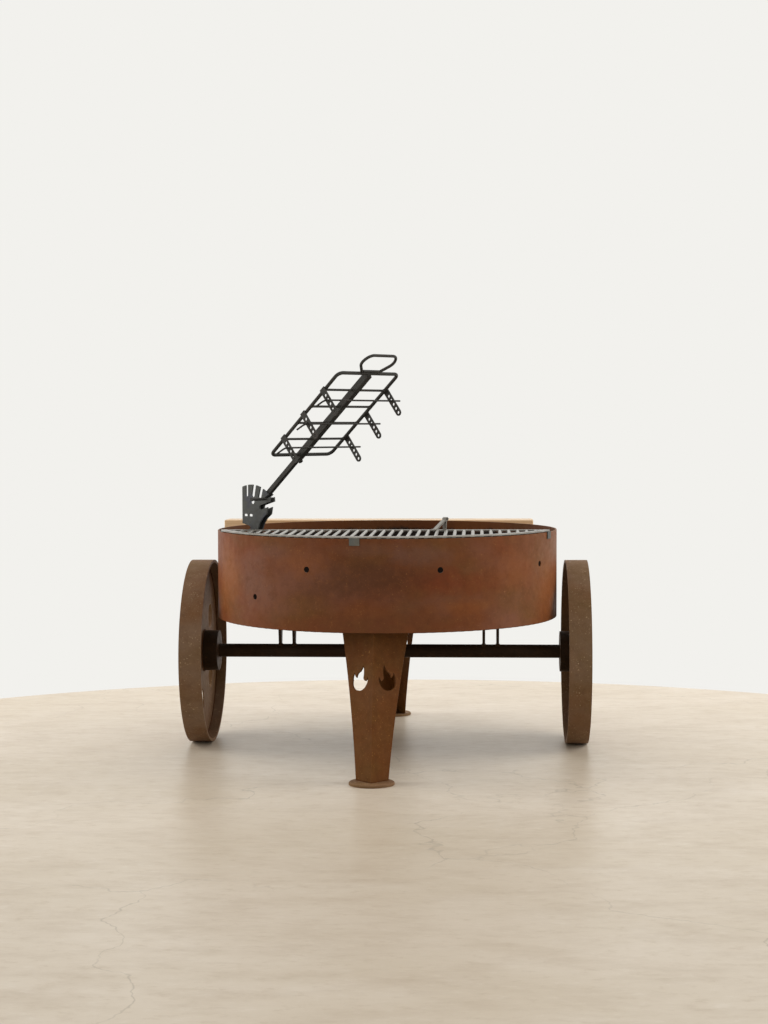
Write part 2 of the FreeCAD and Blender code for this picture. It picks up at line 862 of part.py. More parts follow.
def make_board_brackets():
    """Two gussets with a flange under the board, welded to the drum's back."""
    flange_top = s.rim_height - s.board_thickness
    tip = s.drum_radius + s.board_gap + s.board_depth * 0.8
    screw_rows = [s.drum_radius + s.board_gap + s.board_depth * share
                  for share in BOARD_SCREW_SHARES]
    screws = []
    for name, side in (("left", -1), ("right", 1)):
        middle = side * s.board_bracket_offset - s.board_offset
        start = root(s.drum_radius * s.drum_radius - middle * middle) - s.board_bracket_plate
        label = name + "_board_bracket"
        body = new_body(label + "_blank")
        gusset = new_sketch(body, label + "_gusset", "YZ_Plane")
        add_outline(gusset, [
            (start, -s.board_bracket_height),
            (start + s.board_bracket_plate * 4, -s.board_bracket_height),
            (tip, -s.board_bracket_plate * 3),
            (tip, ZERO),
            (start, ZERO),
        ])
        pad(body, gusset, s.board_bracket_plate, both_ways=True)
        flange = new_sketch(body, label + "_flange", "XY_Plane")
        flange_half = s.board_bracket_flange / 2
        add_outline(flange, box_outline(-flange_half, flange_half, start, tip))
        screw_x = side * flange_half * SCREW_OFFSET_SHARE
        for screw_y in screw_rows:
            add_circle(flange, (screw_x, screw_y), s.board_screw_radius + s.screw_gap)
            screws.append(make_board_screw(
                len(screws) + 1, middle + screw_x, screw_y,
                flange_top - s.board_bracket_plate))
        pad(body, flange, s.board_bracket_plate, backward=True)
        place(body, middle, ZERO, flange_top)
        drum = document.addObject("Part::Cylinder", label + "_drum")
        bind(drum, "Radius", s.drum_radius)
        bind(drum, "Height", s.drum_height + s.overrun)
        place(drum, z=drum_bottom)
        cut = document.addObject("Part::Cut", label + "_cut")
        cut.Base = body
        cut.Tool = drum
        keep(cut, label)
    group = document.addObject("Part::Compound", "board_screws_all")
    group.Links = screws
    keep(group, "board_screws")


def make_board_screw(number, x, y, z):
    """A wood screw that comes up through the flange into the board."""
    body = new_body("board_screw_%d" % number)
    sketch = new_sketch(body, "board_screw_%d_profile" % number, "XZ_Plane")
    add_outline(sketch, [
        (ZERO, -s.board_screw_head_height),
        (s.board_screw_head_radius, -s.board_screw_head_height),
        (s.board_screw_head_radius, ZERO),
        (s.board_screw_radius, ZERO),
        (s.board_screw_radius, s.board_screw_length - s.board_screw_radius),
        (ZERO, s.board_screw_length),
    ])
    revolve(body, sketch, "V_Axis")
    place(body, x, y, z)
    return body


# Cooking grate

def make_grate_ring():
    """The flat ring over the drum's front rim, open at the back."""
    rear = s.grate_rear_edge
    outer_end = root(grate_outer * grate_outer - rear * rear)
    inner_end = root(grate_inner * grate_inner - rear * rear)
    body = new_body("grate_ring")
    sketch = new_sketch(body, "grate_ring_outline", "XY_Plane")
    add_outline(sketch, [
        (-outer_end, -rear, grate_outer, (ZERO, -grate_outer)),
        (outer_end, -rear),
        (inner_end, -rear, grate_inner, (ZERO, -grate_inner)),
        (-inner_end, -rear),
    ])
    pad(body, sketch, s.grate_ring_plate)
    place(body, z=grate_bottom)
    keep(body, "grate_ring")


def make_grate_bars():
    """Round bars from front to back, welded under the flush rear strip."""
    rear = s.grate_rear_edge
    strip_front = rear + s.grate_ring_width
    strip = document.addObject("Part::Box", "grate_rear_strip")
    reach = root(grate_inner * grate_inner - strip_front * strip_front) - s.seat_gap
    bind(strip, "Length", reach * 2)
    bind(strip, "Width", s.grate_ring_width)
    bind(strip, "Height", s.grate_ring_plate)
    place(strip, -reach, -strip_front, grate_bottom)
    pieces = [strip]
    room = reach.value - s.grate_bar_radius.value
    per_side = int(room // s.grate_bar_pitch.value)
    for step in range(-per_side, per_side + 1):
        x = s.grate_bar_pitch * step
        corner = s.grate_bar_pitch * abs(step) + s.grate_bar_radius
        front = root(grate_inner * grate_inner - corner * corner) - s.seat_gap
        if front.value < strip_front.value + s.grate_bar_pitch.value:
            continue
        bar = document.addObject("Part::Cylinder", "grate_bar_%d" % (step + per_side))
        bind(bar, "Radius", s.grate_bar_radius)
        bind(bar, "Height", front - rear - s.seat_gap)
        place(bar, x, -front, grate_bar_height, Rotation(Vector(1, 0, 0), -90))
        pieces.append(bar)
    grate = document.addObject("Part::MultiFuse", "grate_bars_welded")
    grate.Shapes = pieces
    keep(grate, "grate_bars")


def make_clips():
    """Clips under the ring that lie on the rim and hook over its outside."""
    inner = s.drum_radius + s.side_gap
    outer = inner + s.clip_plate
    tongue = inner - s.clip_tongue
    for number in range(CLIPS):
        label = "grate_clip_%d" % (number + 1)
        body = new_body(label)
        sketch = new_sketch(body, label + "_profile", "YZ_Plane")
        add_outline(sketch, [
            (-outer, grate_bottom),
            (-outer, grate_bottom - s.clip_drop),
            (-inner, grate_bottom - s.clip_drop),
            (-inner, s.rim_height),
            (-tongue, s.rim_height),
            (-tongue, grate_bottom),
        ])
        pad(body, sketch, s.clip_width, both_ways=True)
        angle = s.clip_middle_angle.value + s.clip_pitch_angle.value * number
        body.Placement = Placement(Vector(), Rotation(Vector(0, 0, 1), angle))
        keep(body, label)


def make_grate_rest():
    """A plain pad that carries the ring's left end on the rim."""
    body = new_body("grate_rest")
    sketch = new_sketch(body, "grate_rest_profile", "YZ_Plane")
    tongue = s.drum_radius + s.side_gap - s.clip_tongue
    add_outline(sketch, box_outline(-s.drum_radius, -tongue, s.rim_height, grate_bottom))
    pad(body, sketch, s.clip_width, both_ways=True)
    body.Placement = Placement(Vector(), Rotation(Vector(0, 0, 1), s.rest_angle.value))
    keep(body, "grate_rest")


def make_grate_handle():
    """A bent strip on the rear strip: a foot, a sloping leg, a rolled eye and an upright."""
    strip = s.grate_handle_strip
    foot = s.grate_handle_foot
    span = s.grate_handle_span
    rise = s.grate_handle_rise
    eye = (strip * 0.6, rise)
    body = new_body("grate_handle")
    sketch = new_sketch(body, "grate_handle_outline", "XZ_Plane")
    add_outline(sketch, [
        (-span - foot, ZERO),
        (strip * 0.5 - span, ZERO),
        (-strip, rise - s.grate_handle_eye),
        (-strip, ZERO),
        (ZERO, ZERO),
        (strip * 0.5, rise),
        (-strip, rise),
        (-strip * 1.2 - span, strip),
        (-span - foot, strip),
    ])
    pad(body, sketch, s.grate_handle_width, both_ways=True)
    roll = new_sketch(body, "grate_handle_roll", "XZ_Plane")
    add_circle(roll, eye, s.grate_handle_eye)
    pad(body, roll, s.grate_handle_width, both_ways=True)
    bore = new_sketch(body, "grate_handle_bore", "XZ_Plane")
    add_circle(bore, eye, s.grate_handle_eye_bore)
    pocket(body, bore, s.grate_handle_width + s.overrun, both_ways=True)
    turn = Rotation(Vector(0, 0, 1), s.grate_handle_turn_angle.value)
    place(body, s.grate_handle_place, -(s.grate_rear_edge + s.grate_ring_width / 2), grate_top,
          turn)
    keep(body, "grate_handle")


# Holder

def make_socket():
    """The tube inside the drum that carries the holder's post, and its two brackets."""
    bore = s.post_radius + s.running_gap
    socket = turned_piece("holder_socket", box_outline(
        bore, s.socket_radius, -s.socket_length, ZERO))
    place(socket, -post_left, s.post_back, socket_top)
    washer = turned_piece("holder_washer", box_outline(
        bore, s.washer_radius, ZERO, s.washer_plate))
    place(washer, -post_left, s.post_back, socket_top)
    heights = (("upper", socket_top - s.socket_bracket_inset),
               ("lower", socket_top - s.socket_length + s.socket_bracket_inset))
    for name, height in heights:
        label = name + "_socket_bracket"
        body = new_body(label)
        sketch = new_sketch(body, label + "_outline", "XY_Plane")
        half = s.socket_bracket_half
        centre = -post_left
        wall_low = root(drum_inner * drum_inner
                        - (half - s.post_back) * (half - s.post_back)) - s.seat_gap
        wall_high = root(drum_inner * drum_inner
                         - (half + s.post_back) * (half + s.post_back)) - s.seat_gap
        add_outline(sketch, [
            (centre, s.post_back + half, half, (centre + half, s.post_back)),
            (centre, s.post_back - half),
            (-wall_low, s.post_back - half),
            (-wall_high, s.post_back + half),
        ])
        add_circle(sketch, (centre, s.post_back), s.socket_radius)
        pad(body, sketch, s.socket_bracket_plate, both_ways=True)
        place(body, z=height)
        keep(body, label)


def comb_point(share):
    """A corner of the holder's plates from its shares of the comb's reach."""
    return (s.comb_reach * share[0], s.comb_reach * share[1])


def comb_corners():
    """The comb plate's outline round the pivot: round top, open jaw, narrow foot."""
    left = s.comb_reach * FOOT_SHARES[-1][0]
    across = left + s.comb_top_shift
    radius = s.comb_top_radius
    left_rise = root(radius * radius - across * across) - s.comb_top_drop
    top = (-s.comb_top_shift, radius - s.comb_top_drop)
    corners = [(left, left_rise, radius, top)]
    reach = s.comb_reach * JAW_SHARES[0][0]
    end = reach + s.comb_top_shift
    corners.append((reach, root(radius * radius - end * end) - s.comb_top_drop))
    corners.extend(comb_point(share) for share in JAW_SHARES[1:])
    foot_right, foot_left = FOOT_SHARES[0]
    corners.append((s.comb_reach * foot_right, -comb_drop))
    corners.append((s.comb_reach * foot_left, -comb_drop))
    corners.extend(comb_point(share) for share in FOOT_SHARES[1:])
    return corners


def cheek_corners():
    """The second plate is lower: it carries the pivot, the pin and the jaw only."""
    corners = [(-s.tang_half, s.comb_reach * CHEEK_TOP_SHARES[0])]
    corners.extend(comb_point(share) for share in CHEEK_TOP_SHARES[1:])
    corners.extend(comb_point(share) for share in JAW_SHARES)
    corners.append((s.comb_reach * FOOT_SHARES[0][0], -comb_drop))
    corners.append((-s.tang_half, -comb_drop))
    return corners


def pin_place():
    """Where the index pin sits, seen square to the plates: just under the raised arm."""
    below = arcsine((arm_half + s.seat_gap + s.pin_radius) / s.pin_distance)
    run = s.tilt_angle - below
    return (cosine(run) * s.pin_distance, sine(run) * s.pin_distance)


def cut_slots(body, label, shares, face, thickness):
    """Cut the slots given as shares, the pin's slot and the mouth, each open outward."""
    slots = new_sketch(body, label + "_slots", "XZ_Plane", rise=face)
    for across, up, half, run in shares:
        add_outline(slots, slot_outline(
            comb_point((across, up)), s.comb_reach * half, run, s.comb_reach))
    add_outline(slots, slot_outline(
        pin_place(), s.pin_slot_width / 2, PIN_SLOT_RUN, s.comb_reach))
    pocket(body, slots, thickness + s.overrun, both_ways=True)
    mouth = new_sketch(body, label + "_mouth", "XZ_Plane", rise=face)
    across, up, run = MOUTH_SHARE
    add_outline(mouth, slot_outline(
        comb_point((across, up)), s.comb_mouth_width / 2, run, s.comb_reach))
    pocket(body, mouth, thickness + s.overrun, both_ways=True)


def make_comb_plate():
    """The front plate: a comb of slots that index the arm's tilt."""
    body = new_body("comb_plate")
    face = comb_face + s.comb_plate / 2
    sketch = new_sketch(body, "comb_plate_outline", "XZ_Plane", rise=face)
    add_outline(sketch, comb_corners())
    add_circle(sketch, (ZERO, ZERO), s.pivot_radius)
    add_circle(sketch, (ZERO, s.comb_hole_rise), s.comb_hole_radius)
    for share in WINDOW_SHARES:
        add_outline(sketch, window_outline(
            (-s.comb_reach * share, -s.comb_window_drop),
            s.comb_window_length / 2, s.comb_window_width / 2))
    pad(body, sketch, s.comb_plate, both_ways=True)
    cut_slots(body, "comb_plate", SLOT_SHARES, face, s.comb_plate)
    at_pivot(body, plate_frame())
    keep(body, "comb_plate")


def make_cheek_plate():
    body = new_body("cheek_plate")
    face = -(comb_face + s.cheek_plate / 2)
    sketch = new_sketch(body, "cheek_plate_outline", "XZ_Plane", rise=face)
    add_outline(sketch, cheek_corners())
    add_circle(sketch, (ZERO, ZERO), s.pivot_radius)
    pad(body, sketch, s.cheek_plate, both_ways=True)
    cut_slots(body, "cheek_plate", [], face, s.cheek_plate)
    at_pivot(body, plate_frame())
    keep(body, "cheek_plate")


def make_post():
    """The swivel post: a round bar with a flat tang between the two plates."""
    body = new_body("holder_post")
    tang = new_sketch(body, "holder_post_tang", "XY_Plane", rise=-comb_drop)
    add_outline(tang, box_outline(-s.tang_half, s.tang_half, -comb_face, comb_face))
    pad(body, tang, s.tang_height)
    bar = new_sketch(body, "holder_post_bar", "XY_Plane", rise=-comb_drop)
    add_circle(bar, (ZERO, ZERO), s.post_radius)
    pad(body, bar, s.washer_plate + s.socket_length, backward=True)
    at_pivot(body, plate_frame())
    keep(body, "holder_post")


def make_pivot_bolt():
    """The bolt through both plates and the arm's eye: flush in front, headed behind."""
    body = new_body("pivot_bolt")
    sketch = new_sketch(body, "pivot_bolt_profile", "XY_Plane")
    shank = s.pivot_radius
    front = comb_outer_face
    rear = cheek_outer_face
    add_outline(sketch, [
        (ZERO, -front),
        (shank, -front),
        (shank, rear),
        (s.pivot_head_radius, rear),
        (s.pivot_head_radius, rear + s.pivot_head_height),
        (ZERO, rear + s.pivot_head_height),
    ])
    revolve(body, sketch, "V_Axis")
    at_pivot(body, plate_frame())
    keep(body, "pivot_bolt")


def make_index_pin():
    """The loose pin under the arm: it lies in the comb's slot and slides out forward."""
    across, up = pin_place()
    front = comb_outer_face + s.pin_front_reach
    rear = cheek_outer_face + s.pin_rear_reach
    body = new_body("index_pin")
    sketch = new_sketch(body, "index_pin_profile", "XY_Plane")
    bevel = s.pin_radius * 0.3
    add_outline(sketch, [
        (ZERO, -front),
        (s.pin_head_radius, -front),
        (s.pin_head_radius, s.pin_head_height - front),
        (s.pin_radius, s.pin_head_height - front),
        (s.pin_radius, rear - bevel),
        (s.pin_radius - bevel, rear),
        (ZERO, rear),
    ])
    revolve(body, sketch, "V_Axis")
    place(body, -post_left + across * cosine(s.swivel_angle),
          s.post_back + across * sine(s.swivel_angle), pivot_height + up, plate_frame())
    keep(body, "index_pin")


# Arm and rack

def make_arm():
    """A square bar with a round eye at the pivot; its far end carries the rack's spine."""
    body = new_body("arm_bar")
    sketch = new_sketch(body, "arm_bar_outline", "XZ_Plane")
    eye = s.arm_eye_radius
    eye_x = root(eye * eye - arm_half * arm_half)
    add_outline(sketch, [
        (eye_x, -arm_half),
        (arm_end, -arm_half),
        (arm_end, arm_half),
        (eye_x, arm_half, eye, (-eye, ZERO)),
    ])
    add_circle(sketch, (ZERO, ZERO), s.pivot_radius + s.running_gap)
    pad(body, sketch, s.arm_width, both_ways=True)
    at_pivot(body, arm_frame())
    keep(body, "arm_bar")


def make_spine():
    """The rack's square tube: it slides over the arm and rests on the arm's end."""
    start = s.rack_start - s.spine_overhang
    body = new_body("rack_spine")
    outer = new_sketch(body, "rack_spine_outer", "YZ_Plane", rise=start)
    add_outline(outer, box_outline(-spine_half, spine_half, -spine_half, spine_half))
    pad(body, outer, spine_end - start)
    bore = new_sketch(body, "rack_spine_bore", "YZ_Plane", rise=start)
    add_outline(bore, box_outline(
        -spine_bore_half, spine_bore_half, -spine_bore_half, spine_bore_half))
    pocket(body, bore, spine_end - start - s.spine_end_plate, backward=True)
    at_pivot(body, arm_frame())
    keep(body, "rack_spine")


def make_rack_frame():
    """The rack's bent outer rod with its crossbars, butted to both sides of the spine."""
    half = s.rack_half_width.value
    start = s.rack_start.value
    end = rack_end.value
    side = spine_half.value
    outer = rod_shape([
        Vector(start, -side, 0), Vector(start, -half, 0), Vector(end, -half, 0),
        Vector(end, half, 0), Vector(start, half, 0), Vector(start, side, 0),
    ], s.rack_rod_radius.value, s.rack_corner_radius.value)
    shape = outer
    for step in range(1, CROSSBARS + 1):
        x = start + s.rack_length.value * step / (CROSSBARS + 1)
        for way in (-1, 1):
            bar = Part.makeCylinder(s.crossbar_radius.value, half - side,
                                    Vector(x, way * side, 0), Vector(0, way, 0))
            shape = shape.fuse(bar)
    piece = made_piece("rack_frame", shape)
    at_pivot(piece, arm_frame(), fixed=True)


def make_rack_handle():
    """The carrying loop on the rack's upper bar, closed by a rod along the bar."""
    base = rack_end.value + s.rack_rod_radius.value * 0.7
    foot = s.handle_foot_half.value
    half = s.handle_half.value
    rise = s.handle_rise.value
    shape = rod_shape([
        Vector(base, -foot, 0),
        Vector(base + rise * 0.55, -half, 0),
        Vector(base + rise, -half * 0.78, 0),
        Vector(base + rise, half * 0.78, 0),
        Vector(base + rise * 0.55, half, 0),
        Vector(base, foot, 0),
    ], s.handle_rod_radius.value, s.handle_bend_radius.value)
    along = Vector(0, 1, 0)
    low = (s.rack_rod_radius + s.handle_rod_radius).value * HANDLE_SEAT_SHARE
    shape = shape.fuse(Part.makeCylinder(
        s.handle_rod_radius.value, foot * 2, Vector(rack_end.value + low, -foot, 0), along))
    bar = Part.makeCylinder(s.rack_rod_radius.value, s.rack_half_width.value * 2,
                            Vector(rack_end.value, -s.rack_half_width.value, 0), along)
    piece = made_piece("rack_handle", shape.cut(bar))
    at_pivot(piece, arm_frame(), fixed=True)


def make_straps():
    """Six holed straps, welded to the outsides of the rack's side rods in facing pairs."""
    half = s.strap_width / 2
    reach = s.rack_half_width + s.rack_rod_radius + s.strap_plate / 2
    for side_name, side in (("left", -1), ("right", 1)):
        for number, share in enumerate(STRAP_SHARES, start=1):
            label = "%s_strap_%d" % (side_name, number)
            body = new_body(label)
            sketch = new_sketch(body, label + "_outline", "XZ_Plane", rise=-side * reach)
            middle = s.rack_start + s.rack_length * share
            top = s.rack_rod_radius
            low = top - s.strap_length
            add_outline(sketch, [
                (middle - half, top),
                (middle + half, top),
                (middle + half, low + half, half, (middle, low)),
                (middle - half, low + half),
            ])
            for hole in range(STRAP_HOLES):
                drop = s.strap_first_hole + s.strap_hole_pitch * hole
                add_circle(sketch, (middle, top - drop), s.strap_hole_radius)
            pad(body, sketch, s.strap_plate, both_ways=True)
            at_pivot(body, arm_frame())
            keep(body, label)


def make_skewers():
    """Three clamp rods through the straps' second holes, each bent at its left end and
    lying on the bottom of its holes."""
    drop = (s.strap_first_hole + s.strap_hole_pitch * (SKEWER_HOLE - 1)).value
    settle = (s.strap_hole_radius - s.skewer_radius - s.seat_gap).value
    tilt = math.radians(s.tilt_angle.value)
    height = s.rack_rod_radius.value - drop - settle * math.cos(tilt)
    tip_turn = math.radians(s.skewer_tip_angle.value)
    tip_back = s.skewer_tip.value * math.sin(tip_turn)
    tip_out = s.skewer_tip.value * math.cos(tip_turn)
    for number, share in enumerate(STRAP_SHARES, start=1):
        x = (s.rack_start + s.rack_length * share).value - settle * math.sin(tilt)
        bend_y = -s.skewer_left_reach.value
        shape = rod_shape([
            Vector(x, s.skewer_right_reach.value, height),
            Vector(x, bend_y, height),
            Vector(x - tip_back, bend_y - tip_out, height),
        ], s.skewer_radius.value, s.skewer_bend_radius.value)
        piece = made_piece("clamp_rod_%d" % number, shape)
        at_pivot(piece, arm_frame(), fixed=True)


make_drum_wall()
make_drum_floor()
make_leg("front_leg", Rotation())
make_leg("rear_leg", Rotation(Vector(0, 0, 1), 180))
make_foot("front_foot", -1)
make_foot("rear_foot", 1)
make_wheel("left", -1)
make_wheel("right", 1)
make_axle()
make_hangers()
make_board()
make_board_brackets()
make_grate_ring()
make_grate_bars()
make_clips()
make_grate_rest()
make_grate_handle()
make_socket()
make_comb_plate()
make_cheek_plate()
make_post()
make_pivot_bolt()
make_index_pin()
make_arm()
make_spine()
make_rack_frame()
make_rack_handle()
make_straps()
make_skewers()
document.recompute()

for item in document.Objects:
    if "Invalid" in item.State or "Error" in item.State:
        raise ValueError("failed: %s %s" % (item.Label, item.State))
os.makedirs("parts", exist_ok=True)
for item in SUB_PARTS:
    shape = item.Shape
    if shape.isNull() or not shape.isValid() or not shape.Solids:
        raise ValueError("bad shape: " + item.Label)
for item in SUB_PARTS:
    item.Shape.exportStep("parts/%s.step" % item.Label)
    print("%-24s solids %d volume %.1f" % (item.Label, len(item.Shape.Solids), item.Shape.Volume))
print("sub-parts", len(SUB_PARTS))
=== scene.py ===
import math

import bmesh
import bpy
from mathutils import Euler, Matrix, Vector


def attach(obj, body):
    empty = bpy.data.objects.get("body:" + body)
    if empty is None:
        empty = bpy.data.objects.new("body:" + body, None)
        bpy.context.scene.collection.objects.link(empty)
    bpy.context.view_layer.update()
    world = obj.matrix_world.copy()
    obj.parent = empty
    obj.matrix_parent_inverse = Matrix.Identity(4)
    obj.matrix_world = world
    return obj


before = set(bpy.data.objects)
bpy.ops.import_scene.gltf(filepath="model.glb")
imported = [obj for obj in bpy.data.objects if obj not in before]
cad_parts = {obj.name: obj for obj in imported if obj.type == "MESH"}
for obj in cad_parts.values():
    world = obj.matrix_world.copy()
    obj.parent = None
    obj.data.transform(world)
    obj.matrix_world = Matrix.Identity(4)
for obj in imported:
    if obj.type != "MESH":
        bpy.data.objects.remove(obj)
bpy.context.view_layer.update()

# Sizes in metres, the same as the source's.
RIM = 0.776
DRUM_FOOT = 0.471
DRUM_RADIUS = 0.600
DRUM_WALL = 0.005
AXLE_Y = 0.090
AXLE_Z = 0.329
LEG_X = -0.017
SOCKET_X = -0.475
SOCKET_Y = 0.036
PIVOT = Vector((SOCKET_X, SOCKET_Y, 0.845))
SWIVEL = math.radians(-41.8)
TILT = math.radians(39.1)
RACK_START = 0.313
RACK_LENGTH = 0.435
RACK_HALF = 0.1414
SPINE_HALF = 0.011
STRAP_SHARES = (0.218, 0.512, 0.797)
CROSS_BAR_SHARES = (0.2, 0.4, 0.6, 0.8)
GRATE_TOP = 0.784
GRATE_REAR = -0.190
GRATE_INNER = 0.579
GRATE_PITCH = 0.0305
GRATE_BAR_RADIUS = 0.006
BARS_EACH_SIDE = 17
GRATE_SEATS = (-7.4, 69.9, -69.9)

X_AXIS, Y_AXIS, Z_AXIS = Vector((1, 0, 0)), Vector((0, 1, 0)), Vector((0, 0, 1))
ALONG_PLATE = Vector((math.cos(SWIVEL), math.sin(SWIVEL), 0.0))
ACROSS = Vector((-math.sin(SWIVEL), math.cos(SWIVEL), 0.0))
ALONG_ARM = ALONG_PLATE * math.cos(TILT) + Z_AXIS * math.sin(TILT)
OFF_ARM = Z_AXIS * math.cos(TILT) - ALONG_PLATE * math.sin(TILT)


def on_arm(along, across=0.0, off=0.0):
    """A place on the raised arm and its rack."""
    return PIVOT + ALONG_ARM * along + ACROSS * across + OFF_ARM * off


def on_plate(along, up, across=0.0):
    """A place on the holder's upright plates."""
    return PIVOT + ALONG_PLATE * along + ACROSS * across + Z_AXIS * up


# Materials

def linear(hex_colour):
    """An sRGB hex colour as linear red, green, blue and alpha."""
    channels = [int(hex_colour[i:i + 2], 16) / 255 for i in (1, 3, 5)]
    return tuple(c / 12.92 if c <= 0.04045 else ((c + 0.055) / 1.055) ** 2.4
                 for c in channels) + (1.0,)


def add_node(tree, kind, inputs=None, **settings):
    """Add a node with its settings; an input is a value, or a socket to link from."""
    node = tree.nodes.new("ShaderNode" + kind)
    for name, value in settings.items():
        setattr(node, name, value)
    for name, value in (inputs or {}).items():
        if isinstance(value, bpy.types.NodeSocket):
            tree.links.new(value, node.inputs[name])
        else:
            node.inputs[name].default_value = value
    return node


def new_material(name):
    """An empty node material and its surface shader."""
    material = bpy.data.materials.new(name)
    material.use_nodes = True
    tree = material.node_tree
    tree.nodes.clear()
    shader = add_node(tree, "BsdfPrincipled")
    output = add_node(tree, "OutputMaterial")
    tree.links.new(shader.outputs["BSDF"], output.inputs["Surface"])
    place = add_node(tree, "TexCoord").outputs["Object"]
    return material, tree, shader, place


def noise(tree, place, size_mm, detail=4.0, roughness=0.55, stretch=(1, 1, 1)):
    """Noise whose grains are about that size; stretch below 1 draws them out."""
    scaled = add_node(tree, "Mapping", {"Vector": place, "Scale": stretch})
    return add_node(tree, "TexNoise", {
        "Vector": scaled.outputs[0], "Scale": 1000 / size_mm,
        "Detail": detail, "Roughness": roughness}).outputs["Fac"]


def ramp(tree, factor, low, high, to_low=0.0, to_high=1.0):
    """A value that runs from to_low to to_high while the factor runs from low to high."""
    return add_node(tree, "MapRange", {
        "Value": factor, "From Min": low, "From Max": high,
        "To Min": to_low, "To Max": to_high}).outputs[0]


def mix_colour(tree, factor, first, second):
    """Two colours mixed; the numbers are those of the node's colour sockets."""
    return add_node(tree, "Mix", {0: factor, 6: first, 7: second},
                    data_type="RGBA").outputs[2]


def multiply(tree, first, second):
    return add_node(tree, "Math", {0: first, 1: second}, operation="MULTIPLY").outputs[0]


def bump(tree, shader, height, depth_mm, under=None):
    """Relief of about that depth in millimetres."""
    inputs = {"Height": height, "Strength": 1.0, "Distance": depth_mm / 1000}
    if under is not None:
        inputs["Normal"] = under
    node = add_node(tree, "Bump", inputs)
    tree.links.new(node.outputs[0], shader.inputs["Normal"])
    return node.outputs[0]


def worn_edges(tree, radius_mm):
    """Where the surface turns a corner within that distance: 1 on the edge, 0 away."""
    rounded = add_node(tree, "Bevel", {"Radius": radius_mm / 1000}, samples=4)
    true_normal = add_node(tree, "NewGeometry").outputs["True Normal"]
    both = add_node(tree, "VectorMath", {0: rounded.outputs[0], 1: true_normal},
                    operation="DOT_PRODUCT").outputs["Value"]
    return ramp(tree, both, 0.97, 0.78)


def patina(tree, place, tones):
    """The large clouds of a rust skin: a ground colour, drifting into three others."""
    colour = linear(tones["ground"])
    for tone, size_mm, start, share, shift in (
            ("red", 190, 0.42, 0.75, (0.0, 0.0, 0.0)),
            ("olive", 130, 0.46, 0.75, (3.1, 1.7, 0.4)),
            ("dusty", 160, 0.50, 0.80, (-2.3, 0.9, 5.2))):
        moved = add_node(tree, "Mapping", {"Vector": place, "Location": shift}).outputs[0]
        cloud = noise(tree, moved, size_mm, 3.0, 0.5, (0.6, 0.6, 1.0))
        colour = mix_colour(tree, ramp(tree, cloud, start, start + 0.22, 0.0, share),
                            colour, linear(tones[tone]))
    return colour


def blooms(tree, place, colour, tones, spots):
    """Patches that stand where they do on the drum, most in the skin's own tones and those
    in the
    shade tone painted shade: each lies at an angle round it and a height, reaches so far
    along and up the face, and has a ragged edge."""
    ragged = ramp(tree, noise(tree, place, 45, 4.0, 0.6), 0.2, 0.8, -0.40, 0.40)
    for angle, height, along, rise, tone, share in spots:
        turn = math.radians(angle)
        middle = (DRUM_RADIUS * math.cos(turn), DRUM_RADIUS * math.sin(turn), height)
        off = add_node(tree, "VectorMath", {0: place, 1: middle}, operation="SUBTRACT")
        scaled = add_node(tree, "VectorMath", {
            0: off.outputs[0], 1: (1 / along, 1 / along, 1 / rise)}, operation="MULTIPLY")
        far = add_node(tree, "VectorMath", {0: scaled.outputs[0]},
                       operation="LENGTH").outputs["Value"]
        edge = add_node(tree, "Math", {0: far, 1: ragged}, operation="ADD").outputs[0]
        colour = mix_colour(tree, ramp(tree, edge, 1.15, 0.35, 0.0, share), colour,
                            linear(tones[tone]))
    return colour


